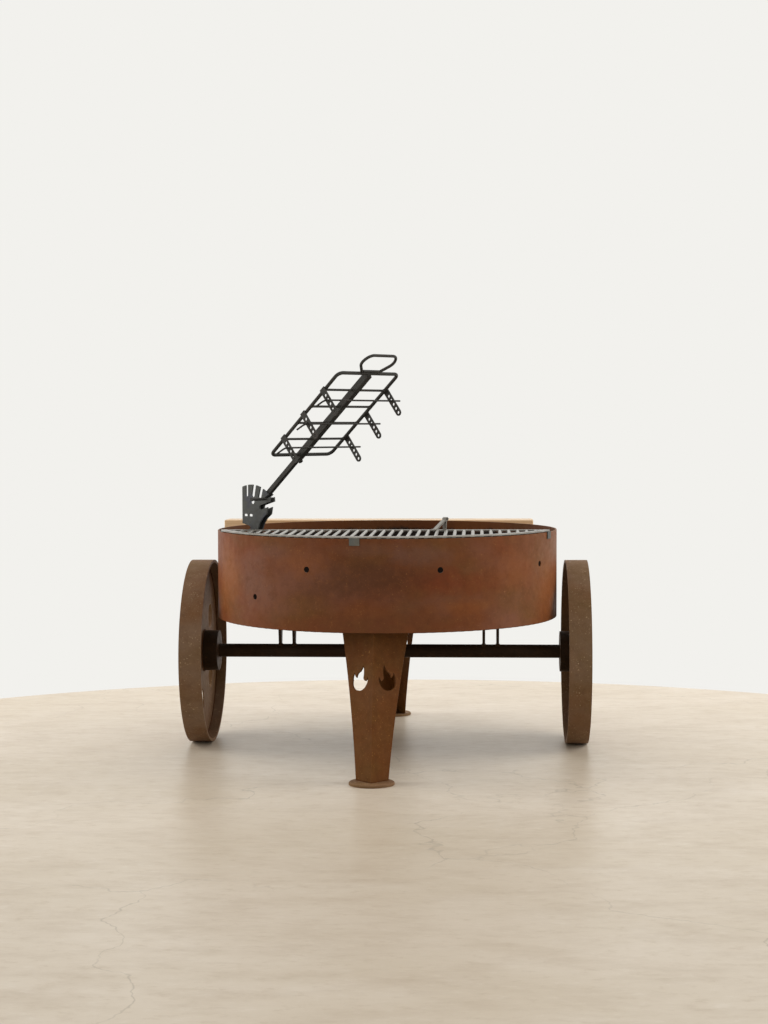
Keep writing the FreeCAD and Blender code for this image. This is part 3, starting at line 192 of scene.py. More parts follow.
def rusted_steel(name, tones, gloss, fleck_share, run_share, finish=None, spots=(),
                 mottle_share=0.30, glare=0.06):
    """Weathering steel left outdoors: a dense matt rust skin in drifting clouds of brown,
    a fine crystalline grain, pin-head blooms of younger orange rust, dark pits, soft run
    marks down the face, and edges rubbed a little paler."""
    material, tree, shader, place = new_material(name)
    colour = patina(tree, place, tones)
    if spots:
        colour = blooms(tree, place, colour, tones, spots)
    runs = ramp(tree, noise(tree, place, 38, 4.0, 0.6, (1, 1, 0.07)), 0.46, 0.74)
    colour = mix_colour(tree, multiply(tree, runs, run_share), colour,
                        linear(tones["dark"]))
    mottle = noise(tree, place, 26, 6.0, 0.68)
    colour = mix_colour(tree, ramp(tree, mottle, 0.50, 0.70, 0.0, mottle_share), colour,
                        linear(tones["bright"]))
    colour = mix_colour(tree, ramp(tree, mottle, 0.46, 0.30, 0.0, mottle_share), colour,
                        linear(tones["dark"]))
    # Blooms of young rust are 2 to 4 mm across and gather in loose swarms.
    swarm = ramp(tree, noise(tree, place, 70, 3.0, 0.6), 0.36, 0.62)
    bloom = ramp(tree, noise(tree, place, 5.5, 2.0, 0.55), 0.64, 0.72)
    colour = mix_colour(tree, multiply(tree, multiply(tree, bloom, swarm), fleck_share),
                        colour, linear(tones["fleck"]))
    pits = ramp(tree, noise(tree, place, 6.0, 3.0, 0.6), 0.36, 0.28)
    colour = mix_colour(tree, multiply(tree, pits, 0.55), colour, linear(tones["dark"]))
    grain = noise(tree, place, 3.0, 4.0, 0.7)
    colour = mix_colour(tree, ramp(tree, grain, 0.42, 0.66, 0.0, 0.22), colour,
                        linear(tones["dark"]))
    colour = mix_colour(tree, multiply(tree, worn_edges(tree, 2.5), 0.35), colour,
                        linear(tones["bright"]))
    if finish is not None:
        colour = finish(tree, place, colour)
    tree.links.new(colour, shader.inputs["Base Color"])
    tree.links.new(ramp(tree, mottle, 0.3, 0.7, gloss + 0.10, gloss - 0.06),
                   shader.inputs["Roughness"])
    shader.inputs["Specular IOR Level"].default_value = glare
    shader.inputs["Sheen Weight"].default_value = 0.08
    shader.inputs["Sheen Roughness"].default_value = 0.45
    shader.inputs["Sheen Tint"].default_value = linear("#D8A47E")
    under = bump(tree, shader, mottle, 0.22)
    bump(tree, shader, grain, 0.20, under)
    return material


def drum_soot_and_shade(tree, place, colour):
    """Inside, the whole inner face is darkened a little, painted shade; below a ragged line
    under the rim it goes near-black over the rust, soot and painted shade, with pale ash
    dusted over the fire bed."""
    parts = add_node(tree, "SeparateXYZ", {"Vector": place})
    flat = add_node(tree, "VectorMath", {0: place, 1: (1.0, 1.0, 0.0)},
                    operation="MULTIPLY").outputs[0]
    radius = add_node(tree, "VectorMath", {0: flat}, operation="LENGTH").outputs["Value"]
    inside = ramp(tree, radius, DRUM_RADIUS - DRUM_WALL * 0.4,
                  DRUM_RADIUS - DRUM_WALL * 0.7)
    # Painted shade: the whole inner face of the drum is darkened a little.
    colour = mix_colour(tree, multiply(tree, inside, 0.42), colour, linear("#2B1C12"))
    lick = ramp(tree, noise(tree, place, 70, 5.0, 0.6), 0.3, 0.7, -0.012, 0.012)
    height = add_node(tree, "Math", {0: parts.outputs["Z"], 1: lick},
                      operation="ADD").outputs[0]
    below = ramp(tree, height, RIM - 0.026, RIM - 0.040)
    above_bed = ramp(tree, parts.outputs["Z"], DRUM_FOOT + 0.003, DRUM_FOOT + 0.0045)
    # Near-black below the line under the rim: partly soot, partly painted shade.
    soot_and_shade = mix_colour(tree, ramp(tree, noise(tree, place, 55, 5.0, 0.65), 0.35, 0.7),
                      linear("#0E0B09"), linear("#1F1813"))
    on_bed = ramp(tree, parts.outputs["Z"], DRUM_FOOT + 0.016, DRUM_FOOT + 0.006)
    ash = multiply(tree, on_bed, ramp(tree, noise(tree, place, 90, 6.0, 0.7), 0.50, 0.68,
                                      0.0, 0.7))
    soot_and_shade = mix_colour(tree, ash, soot_and_shade, linear("#6F6A63"))
    cover = multiply(tree, multiply(tree, inside, below), above_bed)
    return mix_colour(tree, multiply(tree, cover, 0.96), colour, soot_and_shade)


def rolled_scale(name, dark, pale, warm, bloom, gloss, patch_mm, rubbed=0.5,
                 metallic=0.35, rough_mm=0.12):
    """Hot-rolled steel with its mill scale: a dull grey skin that drifts between lead grey
    and near-black, browned by handling, with a faint plum bloom where it got hot."""
    material, tree, shader, place = new_material(name)
    cloud = ramp(tree, noise(tree, place, patch_mm, 4.0), 0.36, 0.64)
    scale = noise(tree, place, 11, 3.0, 0.6)
    grain = noise(tree, place, 1.8, 4.0, 0.7)
    colour = mix_colour(tree, cloud, linear(pale), linear(dark))
    colour = mix_colour(tree, ramp(tree, scale, 0.50, 0.76, 0.0, 0.6), colour,
                        linear(warm))
    shifted = add_node(tree, "Mapping", {"Vector": place,
                                         "Location": (1.3, 4.1, 2.2)}).outputs[0]
    colour = mix_colour(tree, ramp(tree, noise(tree, shifted, 55, 3.0), 0.52, 0.68,
                                   0.0, 0.7), colour, linear(bloom))
    if rubbed:
        colour = mix_colour(tree, multiply(tree, worn_edges(tree, 1.2), rubbed), colour,
                            linear("#7C7A76"))
    tree.links.new(colour, shader.inputs["Base Color"])
    tree.links.new(ramp(tree, scale, 0.3, 0.7, gloss - 0.08, gloss + 0.12),
                   shader.inputs["Roughness"])
    shader.inputs["Metallic"].default_value = metallic
    shader.inputs["Specular IOR Level"].default_value = 0.30
    under = bump(tree, shader, scale, rough_mm)
    bump(tree, shader, grain, rough_mm * 0.5, under)
    return material


def brushed_stainless(name, pale, shade, along, gloss, stain=0.35):
    """Stainless steel drawn and brushed: bright, with fine lines along its length, a
    cloudy fire stain and straw-coloured heat tint."""
    material, tree, shader, place = new_material(name)
    stretch = tuple(0.04 if axis == along else 1.0 for axis in "XYZ")
    lines = noise(tree, place, 1.2, 3.0, 0.6, stretch)
    cloud = ramp(tree, noise(tree, place, 45, 4.0), 0.35, 0.7)
    colour = mix_colour(tree, cloud, linear(pale), linear(shade))
    heat = ramp(tree, noise(tree, place, 110, 4.0, 0.6), 0.50, 0.72, 0.0, stain)
    colour = mix_colour(tree, heat, colour, linear("#7D6A52"))
    tree.links.new(colour, shader.inputs["Base Color"])
    tree.links.new(ramp(tree, lines, 0.3, 0.7, gloss - 0.06, gloss + 0.12),
                   shader.inputs["Roughness"])
    shader.inputs["Metallic"].default_value = 0.9
    bump(tree, shader, lines, 0.05)
    return material


def planed_wood(name, early, late, knot):
    """A planed softwood board, oiled and a little greyed: growth rings run through the
    solid, so the faces show long figure and the ends show arcs."""
    material, tree, shader, place = new_material(name)
    shifted = add_node(tree, "Mapping", {
        "Vector": place, "Location": (0.0, -0.70, -0.60), "Scale": (0.10, 1.0, 1.0)})
    sway = add_node(tree, "TexNoise", {
        "Vector": shifted.outputs[0], "Scale": 9.0, "Detail": 2.0})
    swing = add_node(tree, "VectorMath", {0: sway.outputs["Color"], "Scale": 0.022},
                     operation="SCALE").outputs[0]
    bent = add_node(tree, "VectorMath", {0: shifted.outputs[0], 1: swing},
                    operation="ADD").outputs[0]
    rings = add_node(tree, "TexWave", {
        "Vector": bent, "Scale": 62.0, "Distortion": 1.2, "Detail": 3.0,
        "Detail Scale": 2.0}, wave_type="RINGS", rings_direction="X").outputs["Fac"]
    fibres = noise(tree, place, 1.4, 4.0, 0.6, (0.03, 1, 1))
    cloud = ramp(tree, noise(tree, place, 160, 3.0, 0.5, (0.3, 1, 1)), 0.3, 0.7)
    colour = mix_colour(tree, ramp(tree, rings, 0.25, 0.95), linear(early), linear(late))
    colour = mix_colour(tree, multiply(tree, ramp(tree, fibres, 0.45, 0.75), 0.30),
                        colour, linear(knot))
    colour = mix_colour(tree, multiply(tree, cloud, 0.3), colour, linear(late))
    tree.links.new(colour, shader.inputs["Base Color"])
    tree.links.new(ramp(tree, fibres, 0.3, 0.7, 0.26, 0.40), shader.inputs["Roughness"])
    shader.inputs["Specular IOR Level"].default_value = 0.55
    bump(tree, shader, fibres, 0.06)
    return material


def worn_screed(name, pale, shade, stain):
    """A trowelled beige screed, worn by use: broad pale clouds, cloudy scuffs, a few fine
    wandering cracks and specks of grit."""
    material, tree, shader, place = new_material(name)
    cloud = ramp(tree, noise(tree, place, 900, 5.0, 0.6, (0.6, 1, 1)), 0.34, 0.66)
    colour = mix_colour(tree, cloud, linear(pale), linear(shade))
    scuffs = ramp(tree, noise(tree, place, 120, 8.0, 0.70, (0.45, 1, 1)), 0.46, 0.70,
                  0.0, 0.60)
    colour = mix_colour(tree, scuffs, colour, linear(stain))
    bleach = ramp(tree, noise(tree, place, 330, 6.0, 0.62, (0.7, 1.3, 1)), 0.52, 0.72,
                  0.0, 0.25)
    colour = mix_colour(tree, bleach, colour, linear("#DED6CA"))
    bent = add_node(tree, "TexNoise", {"Vector": place, "Scale": 2.4, "Detail": 5.0})
    drift = add_node(tree, "VectorMath", {0: bent.outputs["Color"], "Scale": 0.55},
                     operation="SCALE").outputs[0]
    wander = add_node(tree, "VectorMath", {0: place, 1: drift}, operation="ADD").outputs[0]
    cells = add_node(tree, "TexVoronoi", {"Vector": wander, "Scale": 0.62},
                     feature="DISTANCE_TO_EDGE").outputs["Distance"]
    crack = multiply(tree, ramp(tree, cells, 0.0028, 0.0), ramp(
        tree, noise(tree, place, 520, 4.0, 0.65), 0.40, 0.56, 0.0, 0.55))
    colour = mix_colour(tree, crack, colour, linear("#8F8473"))
    wrinkle = noise(tree, place, 34, 8.0, 0.72, (0.55, 1, 1))
    colour = mix_colour(tree, ramp(tree, wrinkle, 0.54, 0.72, 0.0, 0.60), colour,
                        linear(stain))
    colour = mix_colour(tree, ramp(tree, wrinkle, 0.44, 0.28, 0.0, 0.35), colour,
                        linear("#D8CFC2"))
    grit = ramp(tree, noise(tree, place, 9.0, 2.0, 0.5), 0.74, 0.80, 0.0, 0.35)
    colour = mix_colour(tree, grit, colour, linear("#A3967F"))
    tree.links.new(colour, shader.inputs["Base Color"])
    tree.links.new(ramp(tree, wrinkle, 0.3, 0.7, 0.30, 0.42), shader.inputs["Roughness"])
    shader.inputs["Specular IOR Level"].default_value = 0.36
    bump(tree, shader, wrinkle, 0.5)
    return material


# The drum's shade tone is painted shade, laid on its front face where less light falls.
DRUM_TONES = {"ground": "#64371A", "red": "#69300F", "olive": "#5F3D1A",
              "dusty": "#6E4534", "dark": "#43230D", "bright": "#7E481C",
              "fleck": "#A5703F", "ember": "#6B290A", "shade": "#4E2B12",
              "mauve": "#6B4A3C", "orange": "#7E4820"}
LEG_TONES = {"ground": "#58330F", "red": "#5B2E0B", "olive": "#583B14",
             "dusty": "#5C3D20", "dark": "#3A210B", "bright": "#6C431A",
             "fleck": "#A0703A"}
DUSTY_TONES = {"ground": "#6E543C", "red": "#6E4C31", "olive": "#6A5334",
               "dusty": "#7A6452", "dark": "#4A3524", "bright": "#83664A",
               "fleck": "#C0A684"}
AXLE_TONES = {"ground": "#2C1F14", "red": "#352215", "olive": "#302419",
              "dusty": "#3C3026", "dark": "#191009", "bright": "#48301B",
              "fleck": "#6B4727"}
WELD_TONES = {"ground": "#4A2A14", "red": "#553013", "olive": "#4A3218",
              "dusty": "#54392A", "dark": "#2E190B", "bright": "#6A4021",
              "fleck": "#86552A"}
# Angle round the drum from +X in degrees, height, reach along and up the face, tone,
# share. The patches in the shade tone, on the drum's front, are painted shade.
DRUM_SPOTS = (
    (-71, 0.628, 0.170, 0.048, "ember", 0.55),
    # Painted shade: darkens the middle of the drum's front face.
    (-91, 0.650, 0.210, 0.070, "shade", 0.75),
    (-115, 0.690, 0.090, 0.050, "orange", 0.45),
    (-92, 0.740, 0.140, 0.026, "mauve", 0.35),
    (-77, 0.722, 0.120, 0.040, "mauve", 0.50),
    (-62, 0.548, 0.130, 0.028, "orange", 0.40),
    (-95, 0.545, 0.110, 0.030, "orange", 0.25),
    (-152, 0.630, 0.110, 0.130, "orange", 0.80),
    (-135, 0.620, 0.085, 0.100, "mauve", 0.65),
    (-126, 0.730, 0.080, 0.030, "mauve", 0.40),
    (-40, 0.660, 0.120, 0.070, "orange", 0.40),
    (-22, 0.600, 0.100, 0.110, "orange", 0.45),
    # Painted shade: darkens the drum's front face left of the middle.
    (-109, 0.610, 0.110, 0.050, "shade", 0.45),
    (100, 0.765, 0.300, 0.060, "orange", 0.70),
    (60, 0.765, 0.180, 0.050, "bright", 0.60),
    (140, 0.765, 0.200, 0.060, "orange", 0.60),
)
DRUM_RUST = rusted_steel("drum_weathering_steel", DRUM_TONES, 0.50, 0.40, 0.10, drum_soot_and_shade,
                         DRUM_SPOTS, mottle_share=0.24, glare=0.22)
LEG_RUST = rusted_steel("leg_weathering_steel", LEG_TONES, 0.52, 0.7, 0.25, glare=0.16)
DUSTY_RUST = rusted_steel("dusty_weathering_steel", DUSTY_TONES, 0.58, 0.85, 0.05,
                          glare=0.12)
AXLE_RUST = rusted_steel("axle_dark_rusted_tube", AXLE_TONES, 0.50, 0.4, 0.10)
BLACK_BAR = rolled_scale("rack_mill_scale_bar", "#2C2B28", "#383734", "#3C332C", "#37312E",
                         0.52, 70, rubbed=0.0, metallic=0.15, rough_mm=0.05)
BLACK_PLATE = rolled_scale("holder_mill_scale_plate", "#434442", "#50514E", "#4C4640",
                           "#3F3F4C", 0.50, 90, rubbed=0.30, metallic=0.2, rough_mm=0.08)
GRATE_STEEL = brushed_stainless("grate_brushed_stainless", "#A9A69F", "#857F78", "Y",
                                0.27, stain=0.30)
CLIP_STEEL = brushed_stainless("clip_bent_stainless", "#636460", "#4C4D4A", "Z", 0.42)
ZINC = brushed_stainless("screw_dull_zinc", "#9C9A94", "#77746C", "Z", 0.45)
BOARD_WOOD = planed_wood("shelf_planed_softwood", "#DDBF98", "#C5A176", "#997854")
WELD_RUST = rusted_steel("weld_bead_rusted", WELD_TONES, 0.46, 0.5, 0.0)
WELD_BLACK = rolled_scale("weld_bead_black", "#262523", "#3A3835", "#4A3A2C", "#38343A",
                          0.38, 30)
WELD_BRIGHT = brushed_stainless("weld_bead_stainless", "#A9A49D", "#857A6C", "Z", 0.35)
SCREED = worn_screed("floor_beige_screed", "#CBBFAE", "#C2B5A1", "#B1A18C")

NODE_FINISH = {
    "drum_wall": DRUM_RUST,
    "drum_floor": DRUM_RUST,
    "front_leg": LEG_RUST,
    "rear_leg": LEG_RUST,
    "front_foot": DUSTY_RUST,
    "rear_foot": DUSTY_RUST,
    "axle": AXLE_RUST,
    "wooden_board": BOARD_WOOD,
    "board_screws": ZINC,
    "left_board_bracket": LEG_RUST,
    "right_board_bracket": LEG_RUST,
    "holder_socket": AXLE_RUST,
    "holder_washer": BLACK_BAR,
    "upper_socket_bracket": LEG_RUST,
    "lower_socket_bracket": LEG_RUST,
    "grate_ring": GRATE_STEEL,
    "grate_bars": GRATE_STEEL,
    "grate_handle": GRATE_STEEL,
    "comb_plate": BLACK_PLATE,
    "cheek_plate": BLACK_PLATE,
    "holder_post": BLACK_BAR,
    "pivot_bolt": BLACK_PLATE,
    "index_pin": BLACK_BAR,
    "arm_bar": BLACK_BAR,
    "rack_spine": BLACK_BAR,
    "rack_frame": BLACK_BAR,
    "rack_handle": BLACK_BAR,
}


def finish_of(node):
    if node in NODE_FINISH:
        return NODE_FINISH[node]
    if "wheel" in node:
        return AXLE_RUST if "hub" in node else DUSTY_RUST
    if "axle_screw" in node:
        return ZINC
    if "axle" in node:
        return AXLE_RUST
    if "clip" in node or "rest" in node:
        return CLIP_STEEL
    return BLACK_BAR


for node_name, node_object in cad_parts.items():
    node_object.data.materials.clear()
    node_object.data.materials.append(finish_of(node_name))


# Pieces

# A weld bead: its usual radius, the length and swell of one stroke, the rings to a stroke,
# the slower swell along the run, in radians to the metre, and the share left at its ends.
BEAD = 0.0022
STROKE = 0.0035
RIPPLE = 0.14
RINGS_PER_STROKE = 2.5
SWAY = 0.10
SWAY_RATE = 190.0
END_SHARE = 0.45
# Directions that no bead and no bolt runs along, to square their rings to.
BEAD_SKEW = Vector((0.31, 0.17, 0.94))
BOLT_SKEW = Vector((0.21, 0.37, 0.90))


def new_piece(name, mesh, body, material, smooth=True):
    """A visible piece made from the mesh, riding on a body."""
    mesh.normal_update()
    data = bpy.data.meshes.new(name)
    mesh.to_mesh(data)
    mesh.free()
    data.materials.append(material)
    for face in data.polygons:
        face.use_smooth = smooth
    piece = bpy.data.objects.new(name, data)
    bpy.context.scene.collection.objects.link(piece)
    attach(piece, body)


def ring(mesh, centre, side, lift, radius, count):
    """A ring of vertices round the centre, in the plane of two directions."""
    return [mesh.verts.new(centre + (side * math.cos(2 * math.pi * k / count)
                                     + lift * math.sin(2 * math.pi * k / count)) * radius)
            for k in range(count)]


def skin(mesh, rings, closed=False):
    """Faces from ring to ring. Closed rings meet end to end, others are capped."""
    count = len(rings[0])
    pairs = list(zip(rings, rings[1:]))
    if closed:
        pairs.append((rings[-1], rings[0]))
    for low, high in pairs:
        for k in range(count):
            mesh.faces.new((low[k], low[(k + 1) % count], high[(k + 1) % count], high[k]))
    if not closed:
        mesh.faces.new(rings[0][::-1])
        mesh.faces.new(rings[-1])


def lay_bead(mesh, points, radius=BEAD, closed=False, sides=7):
    """A weld bead: a lumpy tube along a run of points, with the ripples of each stroke."""
    lengths = [0.0]
    loop = points + points[:1] if closed else points
    for before, after in zip(loop, loop[1:]):
        lengths.append(lengths[-1] + (after - before).length)
    steps = max(2, int(lengths[-1] / (STROKE / RINGS_PER_STROKE)))
    rings = []
    leg = 0
    for step in range(steps + (0 if closed else 1)):
        travel = lengths[-1] * step / steps
        while leg < len(loop) - 2 and travel > lengths[leg + 1]:
            leg = leg + 1
        start, end = loop[leg], loop[leg + 1]
        middle = start.lerp(end, (travel - lengths[leg]) / (end - start).length)
        along = (end - start).normalized()
        side = along.cross(BEAD_SKEW).normalized()
        swell = 1 + RIPPLE * math.cos(2 * math.pi * travel / STROKE)
        swell = swell * (1 + SWAY * math.sin(travel * SWAY_RATE))
        if not closed and step in (0, steps):
            swell = swell * END_SHARE
        rings.append(ring(mesh, middle, side, side.cross(along), radius * swell, sides))
    skin(mesh, rings, closed)


def lay_straight(mesh, start, end, radius=BEAD, sides=7):
    lay_bead(mesh, [Vector(start), Vector(end)], radius, sides=sides)


def lay_circle(mesh, centre, reach, across, up, count, radius=BEAD):
    """A closed bead round the centre, in the plane of two directions."""
    lay_bead(mesh, arc_points(centre, reach, across, up, count), radius, closed=True)


def arc_points(centre, reach, across, up, count, start=0.0, sweep=None):
    """Points round an arc, or round the whole circle when no sweep is given."""
    turn = 2 * math.pi if sweep is None else sweep
    return [centre + (across * math.cos(start + turn * k / count)
                      + up * math.sin(start + turn * k / count)) * reach
            for k in range(count if sweep is None else count + 1)]


# Where the stand is welded.
# Each leg's top and bottom: half width, how far out the crease stands, and height.
LEG_SEAMS = ((0.112, 0.567, DRUM_FOOT - 0.001), (0.0525, 0.737, 0.009))
LEG_BEAD = 0.0024
FLOOR_SEAM_RISE = 0.006
FLOOR_BEAD = 0.0035
HANGERS = (0.343, 0.393)
HANGER_FACE = 0.0055
HANGER_HALF_WIDTH = 0.038
HANGER_ARC_START = math.radians(52)
HANGER_ARC_SWEEP = math.radians(76)
AXLE_REACH = 0.0245
# The board's brackets: their middles, how far out they meet the wall, and their faces.
BOARD_BRACKETS = ((-0.315, 0.5107), (0.185, 0.5708))
BRACKET_FACE = 0.0035
BRACKET_FOOT = 0.629
BRACKET_TOP = 0.731
SOCKET_BRACKETS = (0.739, 0.619)
SOCKET_FACE = 0.0045
SOCKET_REACH = 0.0215
SOCKET_BEAD = 0.0020


def weld_stand():
    """Beads at the drum's floor and seam, the legs, the axle's hangers, the board's
    brackets and the brackets of the holder's socket."""
    mesh = bmesh.new()
    inner = DRUM_RADIUS - DRUM_WALL
    lay_circle(mesh, Z_AXIS * DRUM_FOOT, inner, X_AXIS, Y_AXIS, 180)
    lay_circle(mesh, Z_AXIS * (DRUM_FOOT + FLOOR_SEAM_RISE), inner - 0.001, X_AXIS, Y_AXIS,
               180, FLOOR_BEAD)
    seam = DRUM_RADIUS * 0.9995
    lay_straight(mesh, (0, seam, DRUM_FOOT), (0, seam, RIM - 0.001))
    for side in (-1, 1):
        for half, crease, height in LEG_SEAMS:
            lay_bead(mesh, [Vector((LEG_X - half, side * (crease - half), height)),
                            Vector((LEG_X, side * crease, height)),
                            Vector((LEG_X + half, side * (crease - half), height))],
                     LEG_BEAD)
        for hanger in HANGERS:
            for face in (-HANGER_FACE, HANGER_FACE):
                x = side * hanger + face
                lay_straight(mesh, (x, AXLE_Y - HANGER_HALF_WIDTH, DRUM_FOOT - 0.001),
                             (x, AXLE_Y + HANGER_HALF_WIDTH, DRUM_FOOT - 0.001))
                lay_bead(mesh, arc_points(
                    Vector((x, AXLE_Y, AXLE_Z)), AXLE_REACH, Y_AXIS, Z_AXIS, 10,
                    HANGER_ARC_START, HANGER_ARC_SWEEP))
    for middle, reach in BOARD_BRACKETS:
        for face in (-BRACKET_FACE, BRACKET_FACE):
            lay_straight(mesh, (middle + face, reach, BRACKET_FOOT),
                         (middle + face, reach, BRACKET_TOP))
    for height in SOCKET_BRACKETS:
        for face in (-SOCKET_FACE, SOCKET_FACE):
            lay_circle(mesh, Vector((SOCKET_X, SOCKET_Y, height + face)), SOCKET_REACH,
                       X_AXIS, Y_AXIS, 40, SOCKET_BEAD)
            lay_straight(mesh, (-0.5945, 0.008, height + face),
                         (-0.5910, 0.064, height + face))
    new_piece("stand_welds", mesh, "stand", WELD_RUST)


# Each wheel's beads: how far out they lie, their reach round the axle and their radius.
WHEEL_SEAMS = ((0.6710, 0.3180, 0.0028), (0.6770, 0.3180, 0.0028),
               (0.6710, 0.0735, 0.0030), (0.6770, 0.0355, 0.0028))


def weld_wheel(name, side):
    """Beads on both faces of the web, at the band and at the hub."""
    mesh = bmesh.new()
    for x, reach, radius in WHEEL_SEAMS:
        lay_circle(mesh, Vector((side * x, AXLE_Y, AXLE_Z)), reach, Y_AXIS, Z_AXIS, 120,
                   radius)
    new_piece(name + "_wheel_welds", mesh, name + "_wheel", WELD_RUST)


# The rack's beads lie this far off its plane, on the spine's top and under the straps.
RACK_WELD_OFF = 0.0052
SPINE_SIDE = SPINE_HALF + 0.0006
FRAME_INSIDE = RACK_HALF - 0.0056
STRAP_SIDE = RACK_HALF + 0.0045
STRAP_HALF_WIDTH = 0.0105
HANDLE_ENDS = 0.0382


def weld_rack():
    """Beads at the cross bars, the frame, the handle and the straps."""
    mesh = bmesh.new()
    for share in CROSS_BAR_SHARES:
        along = RACK_START + RACK_LENGTH * share
        for side in (-1, 1):
            for across in (SPINE_SIDE, FRAME_INSIDE):
                lay_circle(mesh, on_arm(along, side * across), 0.0042, ALONG_ARM, OFF_ARM,
                           16, 0.0013)
    top = RACK_START + RACK_LENGTH
    for side in (-1, 1):
        lay_circle(mesh, on_arm(RACK_START, side * SPINE_SIDE), 0.0062, ALONG_ARM, OFF_ARM,
                   20, 0.0016)
        lay_straight(mesh, on_arm(top - 0.0055, -SPINE_HALF, side * RACK_WELD_OFF),
                     on_arm(top - 0.0055, SPINE_HALF, side * RACK_WELD_OFF), 0.0018)
        lay_circle(mesh, on_arm(top + 0.0058, side * HANDLE_ENDS), 0.0050, ACROSS, OFF_ARM,
                   18, 0.0014)
        for share in STRAP_SHARES:
            along = RACK_START + RACK_LENGTH * share
            lay_straight(
                mesh, on_arm(along - STRAP_HALF_WIDTH, side * STRAP_SIDE, -RACK_WELD_OFF),
                on_arm(along + STRAP_HALF_WIDTH, side * STRAP_SIDE, -RACK_WELD_OFF), 0.0017)
    new_piece("rack_welds", mesh, "rack", WELD_BLACK)


def weld_holder():
    """Beads up both sides of the post, on both plates."""
    mesh = bmesh.new()
    for along in (-0.0172, 0.0172):
        for across in (-0.0085, 0.0085):
            lay_straight(mesh, on_plate(along, -0.0705, across),
                         on_plate(along, -0.0345, across), 0.0017)
    new_piece("holder_welds", mesh, "holder", WELD_BLACK)


GRATE_BEAD = 0.0011


def weld_grate():
    """Tacks at both ends of each bar, and where the clips and the rest meet the ring."""
    mesh = bmesh.new()
    height = GRATE_TOP - 0.0035
    for number in range(-BARS_EACH_SIDE, BARS_EACH_SIDE + 1):
        x = GRATE_PITCH * number
        front = -math.sqrt(GRATE_INNER ** 2 - (abs(x) + GRATE_BAR_RADIUS) ** 2)
        for y in (front - 0.0004, GRATE_REAR - 0.0204):
            lay_straight(mesh, (x - 0.0055, y, height), (x + 0.0055, y, height),
                         GRATE_BEAD, sides=6)
    under = Z_AXIS * (GRATE_TOP - 0.0052)
    for angle in GRATE_SEATS:
        turn = math.radians(angle - 90)
        out = Vector((math.cos(turn), math.sin(turn), 0))
        side = Vector((-out.y, out.x, 0))
        for shift in (-0.0170, 0.0170):
            lay_straight(mesh, out * 0.5870 + side * shift + under,
                         out * 0.5985 + side * shift + under, GRATE_BEAD)
    new_piece("grate_welds", mesh, "grate", WELD_BRIGHT)


def lay_boss(mesh, centre, axis, profile, count):
    """A boss with that many sides, standing on centre along axis, by rise and radius."""
    side = axis.cross(BOLT_SKEW).normalized()
    lift = axis.cross(side)
    skin(mesh, [ring(mesh, centre + axis * rise, side, lift, radius, count)
                for rise, radius in profile])


# The clamp bolt, as rises and radii: its washer, and its head, 16 mm across the flats.
CLAMP_ALONG = 0.2955
CLAMP_WASHER = ((0.0, 0.0095), (0.0014, 0.0095), (0.0020, 0.0089))
HEAD_CORNER = 0.0080 / math.cos(math.pi / 6)
CLAMP_HEAD = ((0.0, HEAD_CORNER), (0.0056, HEAD_CORNER), (0.0068, HEAD_CORNER - 0.00192))


def clamp_spine():
    """The bolt under the spine's lower end that clamps the rack on the arm."""
    mesh = bmesh.new()
    seat = on_arm(CLAMP_ALONG, 0.0, -SPINE_HALF)
    lay_boss(mesh, seat, -OFF_ARM, CLAMP_WASHER, 32)
    lay_boss(mesh, seat - OFF_ARM * CLAMP_WASHER[-1][0], -OFF_ARM, CLAMP_HEAD, 6)
    new_piece("spine_clamp_bolt", mesh, "rack", BLACK_BAR, smooth=False)


weld_stand()
weld_wheel("left", -1)
weld_wheel("right", 1)
weld_rack()
weld_holder()
weld_grate()
clamp_spine()


# Floor, light and camera

FLOOR_RADIUS = 2.85
FLOOR_MIDDLE = (0.10, -1.15, 0.0)
# Each lamp: name, place, what it points at, size in metres and power in watts.
LAMPS = (
    ("overhead", (0.0, 0.6, 3.6), (0.0, 0.0, 0.5), 1.8, 14),
    ("left_soft", (-4.6, 0.5, 2.1), (-0.3, 0.0, 0.6), 3.6, 202),
    ("right_soft", (4.6, 0.5, 2.1), (0.3, 0.0, 0.6), 3.6, 210),
    ("front_fill", (0.4, -4.8, 1.3), (0.0, 0.0, 0.3), 3.0, 26),
    ("rear_low", (0.0, 4.6, 1.2), (0.0, 0.0, 0.1), 3.0, 125),
)
BACKDROP = "#F2F1ED"
FILL = "#FFFAF2"
FILL_STRENGTH = 0.54
CAMERA_PLACE = Vector((0.3185, -6.4502, 1.1361))
CAMERA_DOWN = 0.0465
CAMERA_YAW = 0.0511
CAMERA_ROLL = -0.0029
CAMERA_LENS_MM = 63.92
SENSOR_MM = 36.0


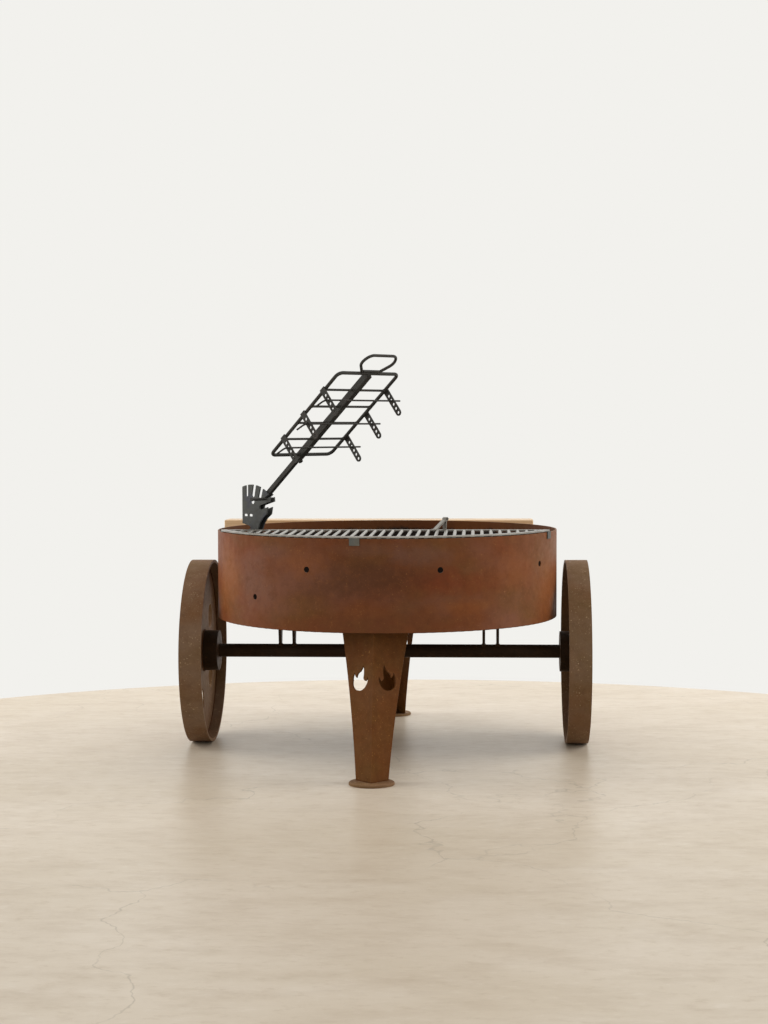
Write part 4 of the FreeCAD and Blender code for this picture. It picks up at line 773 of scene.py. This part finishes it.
def lay_floor():
    """The round pale floor under the pit."""
    mesh = bmesh.new()
    bmesh.ops.create_circle(mesh, cap_ends=True, segments=256, radius=FLOOR_RADIUS)
    data = bpy.data.meshes.new("floor")
    mesh.to_mesh(data)
    mesh.free()
    data.materials.append(SCREED)
    floor = bpy.data.objects.new("floor", data)
    floor.location = FLOOR_MIDDLE
    bpy.context.scene.collection.objects.link(floor)


def light_studio():
    """A pale backdrop for the camera and for reflections, a dimmer fill of the same kind,
    and soft lamps. Only the overhead one leaves a highlight."""
    world = bpy.data.worlds.new("studio")
    world.use_nodes = True
    tree = world.node_tree
    tree.nodes.clear()
    ray = add_node(tree, "LightPath").outputs
    seen = add_node(tree, "Math", {0: ray["Is Camera Ray"], 1: ray["Is Glossy Ray"]},
                    operation="MAXIMUM").outputs[0]
    seen = add_node(tree, "Math", {0: seen, 1: ray["Is Transmission Ray"]},
                    operation="MAXIMUM").outputs[0]
    backdrop = add_node(tree, "Background", {"Color": linear(BACKDROP), "Strength": 1.0})
    fill = add_node(tree, "Background", {"Color": linear(FILL), "Strength": FILL_STRENGTH})
    both = add_node(tree, "MixShader", {0: seen, 1: fill.outputs[0],
                                        2: backdrop.outputs[0]})
    add_node(tree, "OutputWorld", {"Surface": both.outputs[0]})
    bpy.context.scene.world = world
    for name, place, target, size, power in LAMPS:
        data = bpy.data.lights.new(name, "AREA")
        data.size = size
        data.energy = power
        lamp = bpy.data.objects.new(name, data)
        lamp.location = place
        lamp.visible_camera = False
        lamp.visible_glossy = name == "overhead"
        aim = Vector(target) - Vector(place)
        lamp.rotation_euler = aim.to_track_quat("-Z", "Y").to_euler()
        bpy.context.scene.collection.objects.link(lamp)


def set_camera():
    data = bpy.data.cameras.new("camera")
    data.sensor_fit = "VERTICAL"
    data.sensor_height = SENSOR_MM
    data.lens = CAMERA_LENS_MM
    camera = bpy.data.objects.new("camera", data)
    aim = Euler((math.pi / 2 - CAMERA_DOWN, 0.0, CAMERA_YAW), "XYZ").to_matrix().to_4x4()
    roll = Matrix.Rotation(CAMERA_ROLL, 4, "Z")
    camera.matrix_world = Matrix.Translation(CAMERA_PLACE) @ aim @ roll
    bpy.context.scene.collection.objects.link(camera)
    bpy.context.scene.camera = camera


lay_floor()
light_studio()
set_camera()
bpy.context.scene.view_settings.view_transform = "Standard"
